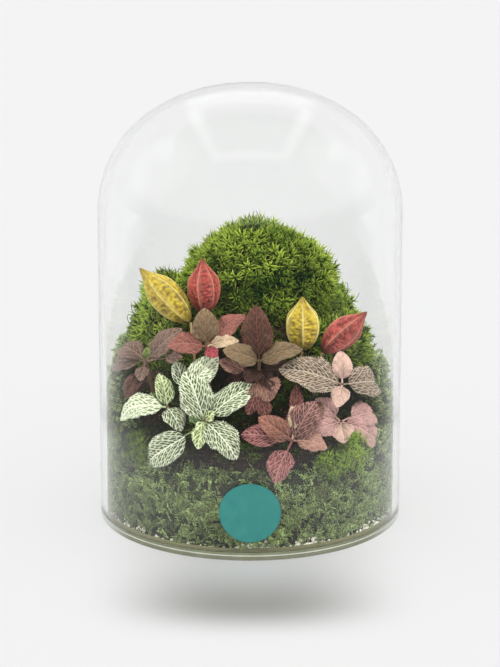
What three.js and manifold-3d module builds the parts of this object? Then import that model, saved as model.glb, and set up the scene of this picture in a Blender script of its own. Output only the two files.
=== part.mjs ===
// A planted glass terrarium: a clear bell jar on a clear base plate, filled with a hill of soil and moss,
// ten small nerve plants (Fittonia) on the front slope and four dyed, ribbed seed pods on picks.
// Millimetres, +Z up. The origin is the middle of the base plate's underside, and -Y is the front.
import * as THREE from 'three';
import { mergeVertices } from 'three/addons/utils/BufferGeometryUtils.js';
import Module from 'manifold-3d';

const wasm = await Module();
wasm.setup();

// ---------- driving dimensions ----------
const JAR_RADIUS = 100;
const JAR_HEIGHT = 290;
const DOME_RISE = 84; // height of the curved top
const DOME_FOOT = JAR_HEIGHT - DOME_RISE;
const DOME_POWER = 2.15; // superellipse: 2 is an ellipse, more is squarer
const DOME_STEPS = 9;
const GLASS_WALL = 4;
const BASE_THICKNESS = 6;
const BASE_CHAMFER = 1;
const GLASS_SIDES = 40;
const CLEARANCE = 0.35; // between pieces that rest on each other

const LABEL_DIAMETER = 40;
const LABEL_CENTRE_HEIGHT = 33;
const LABEL_THICKNESS = 0.4;
const LABEL_GLUE = 0.45; // between the round glass and the sticker's nearest flat facet and its corners

const GRIT_RADIUS = 90;
const GRIT_HEIGHT = 3.2; // least depth of the pumice layer
const GRIT_SIZE = 2;
const FILL_BOTTOM = 12; // the soil, and the sheet moss over the pumice, start here
const SOIL_RADIUS = 79.4;
const SHEET_INNER_RADIUS = 80;
const SHEET_OUTER_RADIUS = 95.3;
const SHEET_ROUGHNESS = 2.2; // how far the sheet moss stands off the glass in places
const SHEET_TUFT = 5; // height of the tufts on its sloping top

const HILL_TOP = new THREE.Vector2(5, 15); // the highest point of the hill, seen from above
const SOIL_PEAK = 172;
const LEFT_CURVE = 0.0108; // fall of the rounded hill, per mm squared
const RIGHT_CURVE = 0.0135;
const FRONT_SLOPE = 1.24; // fall of the planting slope, mm per mm
const FRONT_PEAK = 182; // where the planting slope would meet the axis of the hill

const STEM_RADIUS = 1.2;
const STEM_ROOT_DEPTH = 11;
const BUD_RADIUS = 1.9;
const LEAF_THICKNESS = 0.7;
const LEAF_STALK_WIDTH = 1.5;
const PICK_RADIUS = 0.9;
const PICK_LEAN = 3; // a pick's foot stands this far in front of its pod
const PICK_INWARD = 0.9; // and this much nearer the middle, as a share
const ROD_SIDES = 6;
const MERGE_DISTANCE = 1e-4;

const COLOURS = {
  glass: 0xe8f0ee,
  label: 0x3f8f88,
  grit: 0xd9d3c4,
  soil: 0x3a2a1e,
  sheetMoss: 0x667a4a,
  cushionMoss: 0x86a832,
  white: 0xdfe8c4,
  purple: 0x8a6a60,
  red: 0x9c5048,
  maroon: 0x6a3c34,
  brown: 0x857060,
  dusky: 0xa06468,
  olive: 0xa8987e,
  pink: 0xc49a98,
  podYellow: 0xd2b428,
  podRed: 0xb5333c,
  pick: 0xb89a68,
};

// ---------- helpers: solids, meshes, seeded numbers ----------
function seeded(seed) {
  let state = seed;
  return () => {
    state = (state + 0x6d2b79f5) | 0;
    let mixed = Math.imul(state ^ (state >>> 15), 1 | state);
    mixed = (mixed + Math.imul(mixed ^ (mixed >>> 7), 61 | mixed)) ^ mixed;
    return ((mixed ^ (mixed >>> 14)) >>> 0) / 4294967296;
  };
}

function smoothstep(low, high, value) {
  const t = Math.min(1, Math.max(0, (value - low) / (high - low)));
  return t * t * (3 - 2 * t);
}

function degrees(angle) {
  return (angle * Math.PI) / 180;
}

function mergedGeometry(geometry) {
  const merged = geometry.clone();
  merged.deleteAttribute('normal');
  merged.deleteAttribute('uv');
  return mergeVertices(merged, MERGE_DISTANCE);
}

function solidOf(geometry) {
  const merged = mergedGeometry(geometry);
  const vertProperties = new Float32Array(merged.attributes.position.array);
  const triVerts = new Uint32Array(merged.index.array);
  return new wasm.Manifold(new wasm.Mesh({ numProp: 3, vertProperties, triVerts }));
}

function geometryOf(solid) {
  const mesh = solid.getMesh();
  const geometry = new THREE.BufferGeometry();
  geometry.setAttribute('position', new THREE.BufferAttribute(new Float32Array(mesh.vertProperties), 3));
  geometry.setIndex(new THREE.BufferAttribute(new Uint32Array(mesh.triVerts), 1));
  return geometry;
}

// A closed geometry from points and triangles, turned so that its faces point out.
function closedGeometry(points, triangles) {
  let volume = 0;
  for (const [a, b, c] of triangles) {
    volume += points[a].dot(new THREE.Vector3().crossVectors(points[b], points[c]));
  }
  const index = triangles.flatMap(([a, b, c]) => (volume > 0 ? [a, b, c] : [a, c, b]));
  const geometry = new THREE.BufferGeometry().setFromPoints(points);
  geometry.setIndex(index);
  return geometry;
}

// Rings with the same number of points, joined one to the next and closed with a fan at both ends.
function loft(rings) {
  const count = rings[0].length;
  const points = rings.flat();
  const triangles = [];
  for (let row = 0; row + 1 < rings.length; row += 1) {
    for (let i = 0; i < count; i += 1) {
      const a = row * count + i;
      const b = row * count + ((i + 1) % count);
      triangles.push([a, b, b + count], [a, b + count, a + count]);
    }
  }
  const middle = (ring) => ring.reduce((sum, p) => sum.add(p), new THREE.Vector3()).divideScalar(count);
  const last = (rings.length - 1) * count;
  const startPoint = points.push(middle(rings[0])) - 1;
  const endPoint = points.push(middle(rings.at(-1))) - 1;
  for (let i = 0; i < count; i += 1) {
    const next = (i + 1) % count;
    triangles.push([startPoint, next, i], [endPoint, last + i, last + next]);
  }
  return closedGeometry(points, triangles);
}

// A round body on a flat bottom: its top follows heightAt over rings of points about the Z axis.
function roundBody({ radii, segments, bottom, heightAt }) {
  const points = [new THREE.Vector3(0, 0, heightAt(0, 0))];
  for (const radius of radii) {
    for (let i = 0; i < segments; i += 1) {
      const angle = (i / segments) * 2 * Math.PI;
      const [x, y] = [radius * Math.cos(angle), radius * Math.sin(angle)];
      points.push(new THREE.Vector3(x, y, heightAt(x, y)));
    }
  }
  const rim = 1 + (radii.length - 1) * segments;
  const foot = points.length;
  for (let i = 0; i < segments; i += 1) {
    points.push(points[rim + i].clone().setZ(bottom));
  }
  const footMiddle = points.push(new THREE.Vector3(0, 0, bottom)) - 1;
  const triangles = [];
  for (let i = 0; i < segments; i += 1) {
    const next = (i + 1) % segments;
    triangles.push([0, 1 + i, 1 + next]);
    for (let row = 0; row < radii.length; row += 1) {
      const a = 1 + row * segments;
      triangles.push([a + i, a + segments + i, a + segments + next], [a + i, a + segments + next, a + next]);
    }
    triangles.push([footMiddle, foot + next, foot + i]);
  }
  return closedGeometry(points, triangles);
}

function rod(from, to, radius) {
  const axis = to.clone().sub(from).normalize();
  const side = new THREE.Vector3(1, 0, 0).cross(axis).normalize();
  const other = axis.clone().cross(side);
  const ring = (centre) =>
    Array.from({ length: ROD_SIDES }, (_, i) => {
      const angle = (i / ROD_SIDES) * 2 * Math.PI;
      return centre
        .clone()
        .addScaledVector(side, radius * Math.cos(angle))
        .addScaledVector(other, radius * Math.sin(angle));
    });
  return loft([ring(from), ring(to)]);
}

function part(name, geometry, color, roughness) {
  const material = new THREE.MeshStandardMaterial({ color, roughness, metalness: 0 });
  const mesh = new THREE.Mesh(geometry, material);
  mesh.name = name;
  return mesh;
}

// ---------- glass: bell jar, base plate, round sticker ----------
// Points of the curved top from its foot to the crown, for a jar of this radius and rise.
function domeCurve(radius, rise) {
  return Array.from({ length: DOME_STEPS + 1 }, (_, i) => {
    const t = ((i / DOME_STEPS) * Math.PI) / 2;
    const r = i === DOME_STEPS ? 0 : radius * Math.cos(t) ** (2 / DOME_POWER);
    return new THREE.Vector2(r, DOME_FOOT + rise * Math.sin(t) ** (2 / DOME_POWER));
  });
}

function glassDome() {
  const inner = domeCurve(JAR_RADIUS - GLASS_WALL, DOME_RISE - GLASS_WALL).reverse();
  const outer = domeCurve(JAR_RADIUS, DOME_RISE);
  const mouth = [
    new THREE.Vector2(JAR_RADIUS - GLASS_WALL, BASE_THICKNESS),
    new THREE.Vector2(JAR_RADIUS, BASE_THICKNESS),
  ];
  const geometry = new THREE.LatheGeometry([...inner, ...mouth, ...outer], GLASS_SIDES);
  geometry.rotateX(Math.PI / 2);
  return closedTurned(geometry);
}

function glassBasePlate() {
  const profile = [
    new THREE.Vector2(0, 0),
    new THREE.Vector2(JAR_RADIUS - BASE_CHAMFER, 0),
    new THREE.Vector2(JAR_RADIUS, BASE_CHAMFER),
    new THREE.Vector2(JAR_RADIUS, BASE_THICKNESS),
    new THREE.Vector2(0, BASE_THICKNESS),
  ];
  const geometry = new THREE.LatheGeometry(profile, GLASS_SIDES);
  geometry.rotateX(Math.PI / 2);
  return closedTurned(geometry);
}

// A turned shape with its doubled points merged and its faces pointing out.
function closedTurned(geometry) {
  const merged = mergedGeometry(geometry);
  const { position } = merged.attributes;
  const pointAt = (_, i) => new THREE.Vector3().fromBufferAttribute(position, i);
  const points = Array.from({ length: position.count }, pointAt);
  const triangles = [];
  for (let i = 0; i < merged.index.count; i += 3) {
    const corners = [0, 1, 2].map((step) => merged.index.getX(i + step));
    if (new Set(corners).size === 3) triangles.push(corners);
  }
  return closedGeometry(points, triangles);
}

function roundLabel() {
  const sides = 24;
  const rings = [0.5, 1];
  const inside = JAR_RADIUS + LABEL_GLUE;
  const onGlass = (depth, across, up) => {
    const angle = -Math.PI / 2 + across / JAR_RADIUS;
    return new THREE.Vector3(depth * Math.cos(angle), depth * Math.sin(angle), LABEL_CENTRE_HEIGHT + up);
  };
  const points = [];
  for (const depth of [inside, inside + LABEL_THICKNESS]) {
    points.push(onGlass(depth, 0, 0));
    for (const fraction of rings) {
      for (let i = 0; i < sides; i += 1) {
        const angle = (i / sides) * 2 * Math.PI;
        const radius = (fraction * LABEL_DIAMETER) / 2;
        points.push(onGlass(depth, radius * Math.cos(angle), radius * Math.sin(angle)));
      }
    }
  }
  const face = 1 + rings.length * sides;
  const triangles = [];
  for (let i = 0; i < sides; i += 1) {
    const next = (i + 1) % sides;
    const [a, b] = [1 + i, 1 + next];
    const back = [[0, b, a], [a, b, b + sides], [a, b + sides, a + sides]];
    for (const [p, q, r] of back) {
      triangles.push([p, q, r], [p + face, r + face, q + face]);
    }
    const [rimA, rimB] = [a + sides, b + sides];
    triangles.push([rimA, rimB, rimB + face], [rimA, rimB + face, rimA + face]);
  }
  return closedGeometry(points, triangles);
}

// ---------- ground: pumice layer, soil hill, sheet moss against the glass ----------
function pumiceLayer() {
  const random = seeded(11);
  return roundBody({
    radii: [50, 78, GRIT_RADIUS],
    segments: 36,
    bottom: BASE_THICKNESS,
    heightAt: () => BASE_THICKNESS + GRIT_HEIGHT + GRIT_SIZE * random(),
  });
}

// How far a point lies from the hill's top, and how much it faces the front (0 to 1).
function placeOnHill(x, y) {
  const [dx, dy] = [x - HILL_TOP.x, y - HILL_TOP.y];
  const distance = Math.hypot(dx, dy);
  const front = distance < 1 ? 0.5 : smoothstep(0.2, 0.85, -dy / distance);
  return { dx, distance, front };
}

// Height of the soil: a straight planting slope at the front, a rounded hill elsewhere.
function soilHeight(x, y) {
  const { distance, front, dx } = placeOnHill(x, y);
  const curve = dx > 0 ? RIGHT_CURVE : LEFT_CURVE;
  const hill = SOIL_PEAK - curve * distance ** 2;
  const slope = Math.min(SOIL_PEAK, FRONT_PEAK - FRONT_SLOPE * distance);
  return hill + (slope - hill) * front;
}

function soilBody(clearance) {
  return roundBody({
    radii: [12, 26, 40, 52, 64, SOIL_RADIUS].map((radius) => radius + clearance),
    segments: 32,
    bottom: FILL_BOTTOM - clearance,
    heightAt: (x, y) => soilHeight(x, y) + 1.5 * clearance,
  });
}

// Height of the moss where it meets the glass, by compass angle, and its rise to the soil's edge.
const RIM_HEIGHTS = [
  [-180, 88],
  [-160, 70],
  [-145, 42],
  [-115, 40],
  [-60, 41],
  [-35, 43],
  [-15, 60],
  [0, 78],
  [40, 92],
  [90, 102],
  [140, 100],
  [180, 88],
];

function rimHeight(angle) {
  const wrapped = ((((angle + 180) % 360) + 360) % 360) - 180;
  const next = RIM_HEIGHTS.findIndex(([mark]) => mark >= wrapped);
  if (next <= 0) return RIM_HEIGHTS[0][1];
  const [[from, low], [to, high]] = [RIM_HEIGHTS[next - 1], RIM_HEIGHTS[next]];
  return low + (high - low) * smoothstep(from, to, wrapped);
}

const BACK_RISE = 28;
const FRONT_RISE = 16;

function rimRise(angle) {
  const facing = Math.cos(degrees(angle + 90)); // 1 at the front
  return BACK_RISE + (FRONT_RISE - BACK_RISE) * smoothstep(0.2, 0.8, facing);
}

function sheetMoss(startAngle, endAngle, seed) {
  const random = seeded(seed);
  const columns = 12;
  const wallRows = 7;
  const slopeRows = 4;
  const gapAngle = 0.15;
  const depth = SHEET_OUTER_RADIUS - SHEET_INNER_RADIUS;
  const rings = [];
  for (let column = 0; column <= columns; column += 1) {
    const turn = column / columns;
    const angle = startAngle + gapAngle + (endAngle - startAngle - 2 * gapAngle) * turn;
    const rough = column === 0 || column === columns ? 0 : 1;
    const wallTop = rimHeight(angle);
    const innerTop = wallTop + rimRise(angle);
    const pumiceEdge = GRIT_RADIUS + CLEARANCE;
    const footHeight = BASE_THICKNESS + CLEARANCE;
    const section = [[SHEET_INNER_RADIUS, FILL_BOTTOM], [pumiceEdge, FILL_BOTTOM], [pumiceEdge, footHeight]];
    for (let row = 0; row <= wallRows; row += 1) {
      const height = footHeight + ((wallTop - footHeight) * row) / wallRows;
      section.push([SHEET_OUTER_RADIUS - rough * SHEET_ROUGHNESS * random(), height]);
    }
    for (let row = 1; row <= slopeRows; row += 1) {
      const along = row / slopeRows;
      const tuft = row < slopeRows ? rough * SHEET_TUFT * random() : 0;
      const radius = SHEET_OUTER_RADIUS - depth * along;
      section.push([radius, wallTop + (innerTop - wallTop) * along ** 0.8 + tuft]);
    }
    const direction = new THREE.Vector2(Math.cos(degrees(angle)), Math.sin(degrees(angle)));
    rings.push(section.map(([r, z]) => new THREE.Vector3(r * direction.x, r * direction.y, z)));
  }
  return loft(rings);
}

// ---------- cushions of bun moss on the hill ----------
const CUSHIONS = [
  { name: 'cushion_moss_top', centre: [5, 15, 148], radii: [51, 42, 47], detail: 9, seed: 21 },
  { name: 'cushion_moss_left', centre: [-51, 12, 115], radii: [28, 38, 42], detail: 7, seed: 22 },
  { name: 'cushion_moss_right', centre: [51, 8, 106], radii: [26, 38, 37], detail: 7, seed: 23 },
  { name: 'cushion_moss_back', centre: [0, 56, 112], radii: [50, 27, 36], detail: 7, seed: 24 },
];
const CUSHION_LUMPS = 0.035; // share of the radius
const TUFT_HEIGHT = 5;
const CUSHION_SEAT = 0.55; // room under a cushion, measured across its steep seat
const CUTTER_DETAIL = 3;
const CUTTER_MARGIN = 1.6; // the coarse cutting body's flat faces lie a little inside its round form

// A rounded body that stands up in tufts. With tufts of 0 and some growth it is the tool that cuts
// room for that body.
function cushionBody({ centre, radii, detail, seed }, tufts, growth) {
  const random = seeded(seed);
  const geometry = mergedGeometry(new THREE.IcosahedronGeometry(1, detail));
  const { position } = geometry.attributes;
  for (let i = 0; i < position.count; i += 1) {
    const p = new THREE.Vector3().fromBufferAttribute(position, i);
    const waves = Math.sin(5 * p.x + seed) + Math.sin(6 * p.y + 2 * seed) + Math.sin(5 * p.z + 3 * seed);
    const lump = CUSHION_LUMPS * waves;
    const outward = growth + tufts * random() ** 2;
    p.set(
      centre[0] + p.x * (radii[0] * (1 + lump) + outward),
      centre[1] + p.y * (radii[1] * (1 + lump) + outward),
      centre[2] + p.z * (radii[2] * (1 + lump) + outward),
    );
    position.setXYZ(i, p.x, p.y, p.z);
  }
  return geometry;
}

function cushionMosses() {
  const soilRoom = solidOf(soilBody(CUSHION_SEAT));
  const bore = new THREE.CylinderGeometry(SOIL_RADIUS, SOIL_RADIUS, DOME_FOOT, GLASS_SIDES);
  const insideSheet = solidOf(bore.rotateX(Math.PI / 2).translate(0, 0, DOME_FOOT / 2));
  const placed = [];
  return CUSHIONS.map((cushion) => {
    let solid = solidOf(cushionBody(cushion, TUFT_HEIGHT, 0)).intersect(insideSheet).subtract(soilRoom);
    for (const earlier of placed) {
      const room = { ...earlier, detail: CUTTER_DETAIL };
      solid = solid.subtract(solidOf(cushionBody(room, 0, TUFT_HEIGHT + CUTTER_MARGIN)));
    }
    placed.push(cushion);
    const body = largestPiece(solid);
    return part(cushion.name, geometryOf(body), COLOURS.cushionMoss, 0.95);
  });
}

function largestPiece(solid) {
  return solid.decompose().reduce((best, piece) => (piece.volume() > best.volume() ? piece : best));
}

// ---------- nerve plants ----------
// Each leaf points along heading (0 is +X, 90 is away from the viewer) and lift (degrees above level).
// length is measured from the stem, width across the blade, stalk is the bare part, arch is how high its
// middle bows, and below is how far under the crown it grows. The blades turn their upper face to the light.
const PLANTS = [
  {
    name: 'nerve_plant_white_left',
    color: COLOURS.white,
    crown: [-50, -60, 91],
    root: [-45, -52],
    leaves: [
      { heading: 155, lift: -24, length: 39, width: 16, stalk: 5, arch: 0.2 },
      { heading: 120, lift: 62, length: 22, width: 14, stalk: 2, arch: 0.05 },
      { heading: -60, lift: -33, length: 20, width: 14, stalk: 2, arch: 0.1 },
      { heading: 150, lift: 33, length: 18, width: 7, stalk: 5, arch: 0, below: 4 },
    ],
  },
  {
    name: 'nerve_plant_white_right',
    color: COLOURS.white,
    crown: [-28, -77, 86],
    root: [-25, -68],
    leaves: [
      { heading: 120, lift: 68, length: 34, width: 23, stalk: 3, arch: 0.05 },
      { heading: 18, lift: 31, length: 41, width: 19, stalk: 7, arch: 0.1 },
      { heading: -31, lift: -42, length: 32, width: 21, stalk: 3, arch: 0.12 },
      { heading: 162, lift: -36, length: 49, width: 18, stalk: 16, arch: 0.1, below: 4 },
      { heading: -110, lift: -50, length: 19, width: 11, stalk: 3, arch: 0.1 },
      { heading: -25, lift: 47, length: 10, width: 7, stalk: 1, arch: 0 },
      { heading: 143, lift: 7, length: 13, width: 9, stalk: 2, arch: 0.1 },
      { heading: -126, lift: -20, length: 9, width: 6, stalk: 1, arch: 0 },
    ],
  },
  {
    name: 'nerve_plant_white_back',
    color: COLOURS.white,
    crown: [-41, -55, 102],
    root: [-37, -49],
    leaves: [
      { heading: 10, lift: 39, length: 28, width: 17, stalk: 4, arch: 0.1 },
      { heading: 128, lift: 55, length: 21, width: 11, stalk: 3, arch: 0.05 },
    ],
  },
  {
    name: 'nerve_plant_purple_left',
    color: COLOURS.purple,
    crown: [-67, -40, 117],
    root: [-61, -37],
    leaves: [
      { heading: 136, lift: -18, length: 35, width: 16, stalk: 5, arch: 0.12 },
      { heading: 133, lift: 10, length: 27, width: 15, stalk: 4, arch: 0.15 },
      { heading: -15, lift: 47, length: 33, width: 15, stalk: 5, arch: 0.05 },
      { heading: -54, lift: 76, length: 10, width: 6, stalk: 2, arch: 0 },
      { heading: -104, lift: -28, length: 17, width: 9, stalk: 5, arch: 0 },
      { heading: -30, lift: 14, length: 28, width: 8, stalk: 16, arch: 0.05 },
      { heading: -150, lift: -55, length: 27, width: 10, stalk: 10, arch: 0.1 },
    ],
  },
  {
    name: 'nerve_plant_red',
    color: COLOURS.red,
    crown: [-28, -50, 130],
    root: [-26, -44],
    leaves: [
      { heading: 113, lift: 82, length: 25, width: 17, stalk: 3, arch: 0.05 },
      { heading: -170, lift: 6, length: 25, width: 16, stalk: 3, arch: 0.12 },
      { heading: 14, lift: 42, length: 32, width: 15, stalk: 5, arch: 0.05 },
      { heading: -17, lift: 18, length: 22, width: 9, stalk: 4, arch: 0.1 },
      { heading: -74, lift: -25, length: 15, width: 9, stalk: 3, arch: 0.1 },
    ],
  },
  {
    name: 'nerve_plant_maroon',
    color: COLOURS.maroon,
    crown: [6, -56, 122],
    root: [5, -50],
    leaves: [
      { heading: 105, lift: 80, length: 36, width: 20, stalk: 4, arch: 0.05 },
      { heading: -165, lift: 20, length: 25, width: 15, stalk: 2, arch: 0.1 },
      { heading: -13, lift: 20, length: 29, width: 15, stalk: 2, arch: 0.12 },
    ],
  },
  {
    name: 'nerve_plant_brown',
    color: COLOURS.brown,
    crown: [5, -62, 106],
    root: [2, -57],
    leaves: [
      { heading: -60, lift: -38, length: 17, width: 22, stalk: 1, arch: 0.15 },
      { heading: 165, lift: 24, length: 29, width: 11, stalk: 12, arch: 0.05 },
      { heading: -110, lift: -42, length: 26, width: 11, stalk: 10, arch: 0.1 },
      { heading: -75, lift: -40, length: 26, width: 10, stalk: 16, arch: 0.1, below: 3 },
    ],
  },
  {
    name: 'nerve_plant_dusky',
    color: COLOURS.dusky,
    crown: [27, -80, 76],
    root: [24, -70],
    leaves: [
      { heading: 32, lift: 58, length: 29, width: 20, stalk: 2, arch: 0.05 },
      { heading: -169, lift: 38, length: 27, width: 15, stalk: 3, arch: 0.05 },
      { heading: 5, lift: -12, length: 23, width: 15, stalk: 3, arch: 0.12 },
      { heading: 177, lift: 8, length: 33, width: 15, stalk: 9, arch: 0.08 },
      { heading: -136, lift: -54, length: 30, width: 18, stalk: 8, arch: 0.05 },
      { heading: 81, lift: 68, length: 24, width: 7, stalk: 7, arch: 0.1 },
      { heading: 78, lift: 61, length: 37, width: 9, stalk: 16, arch: 0.05 },
      { heading: 43, lift: 37, length: 33, width: 13, stalk: 15, arch: 0.05 },
    ],
  },
  {
    name: 'nerve_plant_olive',
    color: COLOURS.olive,
    crown: [59, -56, 106],
    root: [52, -42],
    leaves: [
      { heading: -171, lift: 18, length: 42, width: 24, stalk: 3, arch: 0.1 },
      { heading: 90, lift: 72, length: 22, width: 13, stalk: 4, arch: 0.05 },
      { heading: -104, lift: -34, length: 18, width: 12, stalk: 2, arch: 0.1 },
      { heading: 47, lift: -17, length: 45, width: 20, stalk: 11, arch: 0.1 },
    ],
  },
  {
    name: 'nerve_plant_pink',
    color: COLOURS.pink,
    crown: [58, -60, 82],
    root: [50, -56],
    leaves: [
      { heading: 180, lift: 46, length: 19, width: 10, stalk: 7, arch: 0.05 },
      { heading: 50, lift: -4, length: 36, width: 13, stalk: 12, arch: 0.1 },
      { heading: 22, lift: -25, length: 18, width: 9, stalk: 4, arch: 0.05 },
      { heading: -80, lift: -38, length: 13, width: 13, stalk: 2, arch: 0.05 },
      { heading: 38, lift: -32, length: 37, width: 12, stalk: 19, arch: 0.1 },
      { heading: -155, lift: -12, length: 20, width: 11, stalk: 2, arch: 0.1 },
    ],
  },
];

const FOOT_POWER = 0.55;
const TIP_POWER = 0.8;

// Half width of a blade from its foot (0) to its tip (1), 1 at the widest: round below, pointed above.
function bladeOutline(along) {
  const curve = (t) => t ** FOOT_POWER * (1 - t) ** TIP_POWER;
  return curve(along) / curve(FOOT_POWER / (FOOT_POWER + TIP_POWER));
}

const BLADE_STATIONS = [0.1, 0.3, 0.5, 0.68, 0.85];
const SCALLOP = 0.07;
const BLADE_CUP = 0.1; // the blade's edges lie this much of its half width below its middle
const LIGHT = new THREE.Vector3(0, -0.75, 0.66); // where the light comes from

function leaf(foot, { heading, lift, length, width, stalk, arch }) {
  const [turn, rise] = [degrees(heading), degrees(lift)];
  const along = new THREE.Vector3(Math.cos(turn), Math.sin(turn), 0).multiplyScalar(Math.cos(rise));
  along.z = Math.sin(rise);
  const across = LIGHT.clone().cross(along).normalize();
  const up = along.clone().cross(across);
  const section = (distance, half, cup) => {
    const t = distance / length;
    const middle = foot
      .clone()
      .addScaledVector(along, distance)
      .addScaledVector(up, arch * length * 4 * t * (1 - t));
    const at = (side, face) =>
      middle
        .clone()
        .addScaledVector(across, side * half)
        .addScaledVector(up, (face * LEAF_THICKNESS) / 2 - Math.abs(side) * half * cup);
    return [at(-1, 1), at(-1, -1), at(0, -1), at(1, -1), at(1, 1), at(0, 1)];
  };
  const rings = [section(0, LEAF_STALK_WIDTH / 2, 0), section(stalk, LEAF_STALK_WIDTH / 2, 0)];
  BLADE_STATIONS.forEach((station, i) => {
    const scallop = 1 + (i % 2 ? -SCALLOP : SCALLOP);
    const half = (width / 2) * bladeOutline(station) * scallop;
    rings.push(section(stalk + (length - stalk) * station, half, BLADE_CUP));
  });
  rings.push(section(length, LEAF_THICKNESS / 2, 0));
  return loft(rings);
}

// The stem's foot stands in its hole; its lean is the line from there to the crown.
function stemEnds({ crown, root }) {
  const top = new THREE.Vector3(...crown);
  const ground = new THREE.Vector3(root[0], root[1], soilHeight(...root));
  const down = ground.clone().sub(top).normalize();
  return { top, foot: ground.addScaledVector(down, STEM_ROOT_DEPTH), down };
}

function nervePlant(plant) {
  const { top, foot, down } = stemEnds(plant);
  const bud = new THREE.IcosahedronGeometry(BUD_RADIUS, 0).translate(top.x, top.y, top.z);
  let solid = solidOf(rod(foot, top, STEM_RADIUS)).add(solidOf(bud));
  for (const blade of plant.leaves) {
    const start = top.clone().addScaledVector(down, blade.below ?? 0);
    solid = solid.add(solidOf(leaf(start, blade)));
  }
  return part(plant.name, geometryOf(largestPiece(solid)), plant.color, 0.6);
}

// ---------- dried seed pods on picks ----------
const YELLOW = COLOURS.podYellow;
const RED = COLOURS.podRed;
const PODS = [
  { name: 'pod_yellow_left', color: YELLOW, foot: [-39, -34, 142], tip: [-71, -36, 179], radius: 10.5 },
  { name: 'pod_red_left', color: RED, foot: [-29, -30, 146], tip: [-31, -27, 183], radius: 10.5 },
  { name: 'pod_yellow_right', color: YELLOW, foot: [34, -39, 124], tip: [34, -37, 160], radius: 11.5 },
  { name: 'pod_red_right', color: RED, foot: [47, -42, 124], tip: [75, -41, 151], radius: 10 },
];
const POD_RIBS = 6;
const POD_VALLEY = 0.8; // radius between the ribs, as a share of the radius on them
const POD_TIP_RADIUS = 0.7;
const POD_FOOT_RADIUS = 2.2;
const POD_STATIONS = [0.04, 0.14, 0.28, 0.45, 0.62, 0.78, 0.9];

function podRadius(along) {
  return Math.sin(Math.PI * along ** 0.85) ** 0.8;
}

function seedPod({ name, color, foot, tip, radius }) {
  const start = new THREE.Vector3(...foot);
  const axis = new THREE.Vector3(...tip).sub(start);
  const length = axis.length();
  axis.normalize();
  const side = new THREE.Vector3(0, 1, 0).cross(axis).normalize();
  const other = axis.clone().cross(side);
  const ring = (along, size) =>
    Array.from({ length: 2 * POD_RIBS }, (_, i) => {
      const angle = (i / POD_RIBS) * Math.PI;
      const reach = size * (i % 2 ? POD_VALLEY : 1);
      return start
        .clone()
        .addScaledVector(axis, along * length)
        .addScaledVector(side, reach * Math.cos(angle))
        .addScaledVector(other, reach * Math.sin(angle));
    });
  const rings = POD_STATIONS.map((along) => ring(along, radius * podRadius(along)));
  const geometry = loft([ring(0, POD_FOOT_RADIUS), ...rings, ring(1, POD_TIP_RADIUS)]);
  return part(name, geometry, color, 0.55);
}

// Each pick runs from its hole in the soil to just under its pod's foot.
function pickEnds({ foot, tip }) {
  const socket = new THREE.Vector3(...foot);
  const axis = new THREE.Vector3(...tip).sub(socket).normalize();
  const top = socket.addScaledVector(axis, -CLEARANCE - PICK_RADIUS / 2);
  const root = [top.x * PICK_INWARD, top.y - PICK_LEAN];
  const ground = new THREE.Vector3(root[0], root[1], soilHeight(...root));
  const down = ground.clone().sub(top).normalize();
  return { top, foot: ground.addScaledVector(down, STEM_ROOT_DEPTH), down };
}

function podPick(pod) {
  const { top, foot } = pickEnds(pod);
  const name = pod.name.replace('pod', 'pick');
  return part(name, rod(foot, top, PICK_RADIUS), COLOURS.pick, 0.8);
}

// ---------- soil with its planting holes ----------
function soilHill() {
  let solid = solidOf(soilBody(0));
  const bore = ({ top, foot, down }, radius) => {
    const end = foot.clone().addScaledVector(down, CLEARANCE);
    solid = solid.subtract(solidOf(rod(end, top, radius + CLEARANCE)));
  };
  PLANTS.forEach((plant) => bore(stemEnds(plant), STEM_RADIUS));
  PODS.forEach((pod) => bore(pickEnds(pod), PICK_RADIUS));
  return geometryOf(largestPiece(solid));
}

// ---------- the whole terrarium ----------
const glassware = new THREE.Group();
glassware.add(
  part('glass_dome', glassDome(), COLOURS.glass, 0.05),
  part('glass_base_plate', glassBasePlate(), COLOURS.glass, 0.05),
  part('label', roundLabel(), COLOURS.label, 0.5),
);

const SHEETS = [
  ['sheet_moss_front', -120, -60],
  ['sheet_moss_front_right', -60, 0],
  ['sheet_moss_back_right', 0, 60],
  ['sheet_moss_back', 60, 120],
  ['sheet_moss_back_left', 120, 180],
  ['sheet_moss_front_left', -180, -120],
];
const ground = new THREE.Group();
ground.add(
  part('pumice_layer', pumiceLayer(), COLOURS.grit, 0.95),
  part('soil', soilHill(), COLOURS.soil, 0.95),
);
SHEETS.forEach(([name, start, end], i) => {
  ground.add(part(name, sheetMoss(start, end, 31 + i), COLOURS.sheetMoss, 0.95));
});
ground.add(...cushionMosses());

const planting = new THREE.Group();
planting.add(...PLANTS.map(nervePlant), ...PODS.map(seedPod), ...PODS.map(podPick));

const terrarium = new THREE.Group();
terrarium.name = 'glass_plant_terrarium';
terrarium.add(glassware, ground, planting);

export default terrarium;
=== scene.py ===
# A planted glass bell jar: a hill of soil and moss under a domed jar on a glass plate, with nerve plants
# and dyed seed pods on its front slope. Metres, +Z up. The origin is the middle of the plate's underside,
# and -Y is the front.
import math

import bpy
import numpy as np
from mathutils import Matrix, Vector, noise


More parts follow.
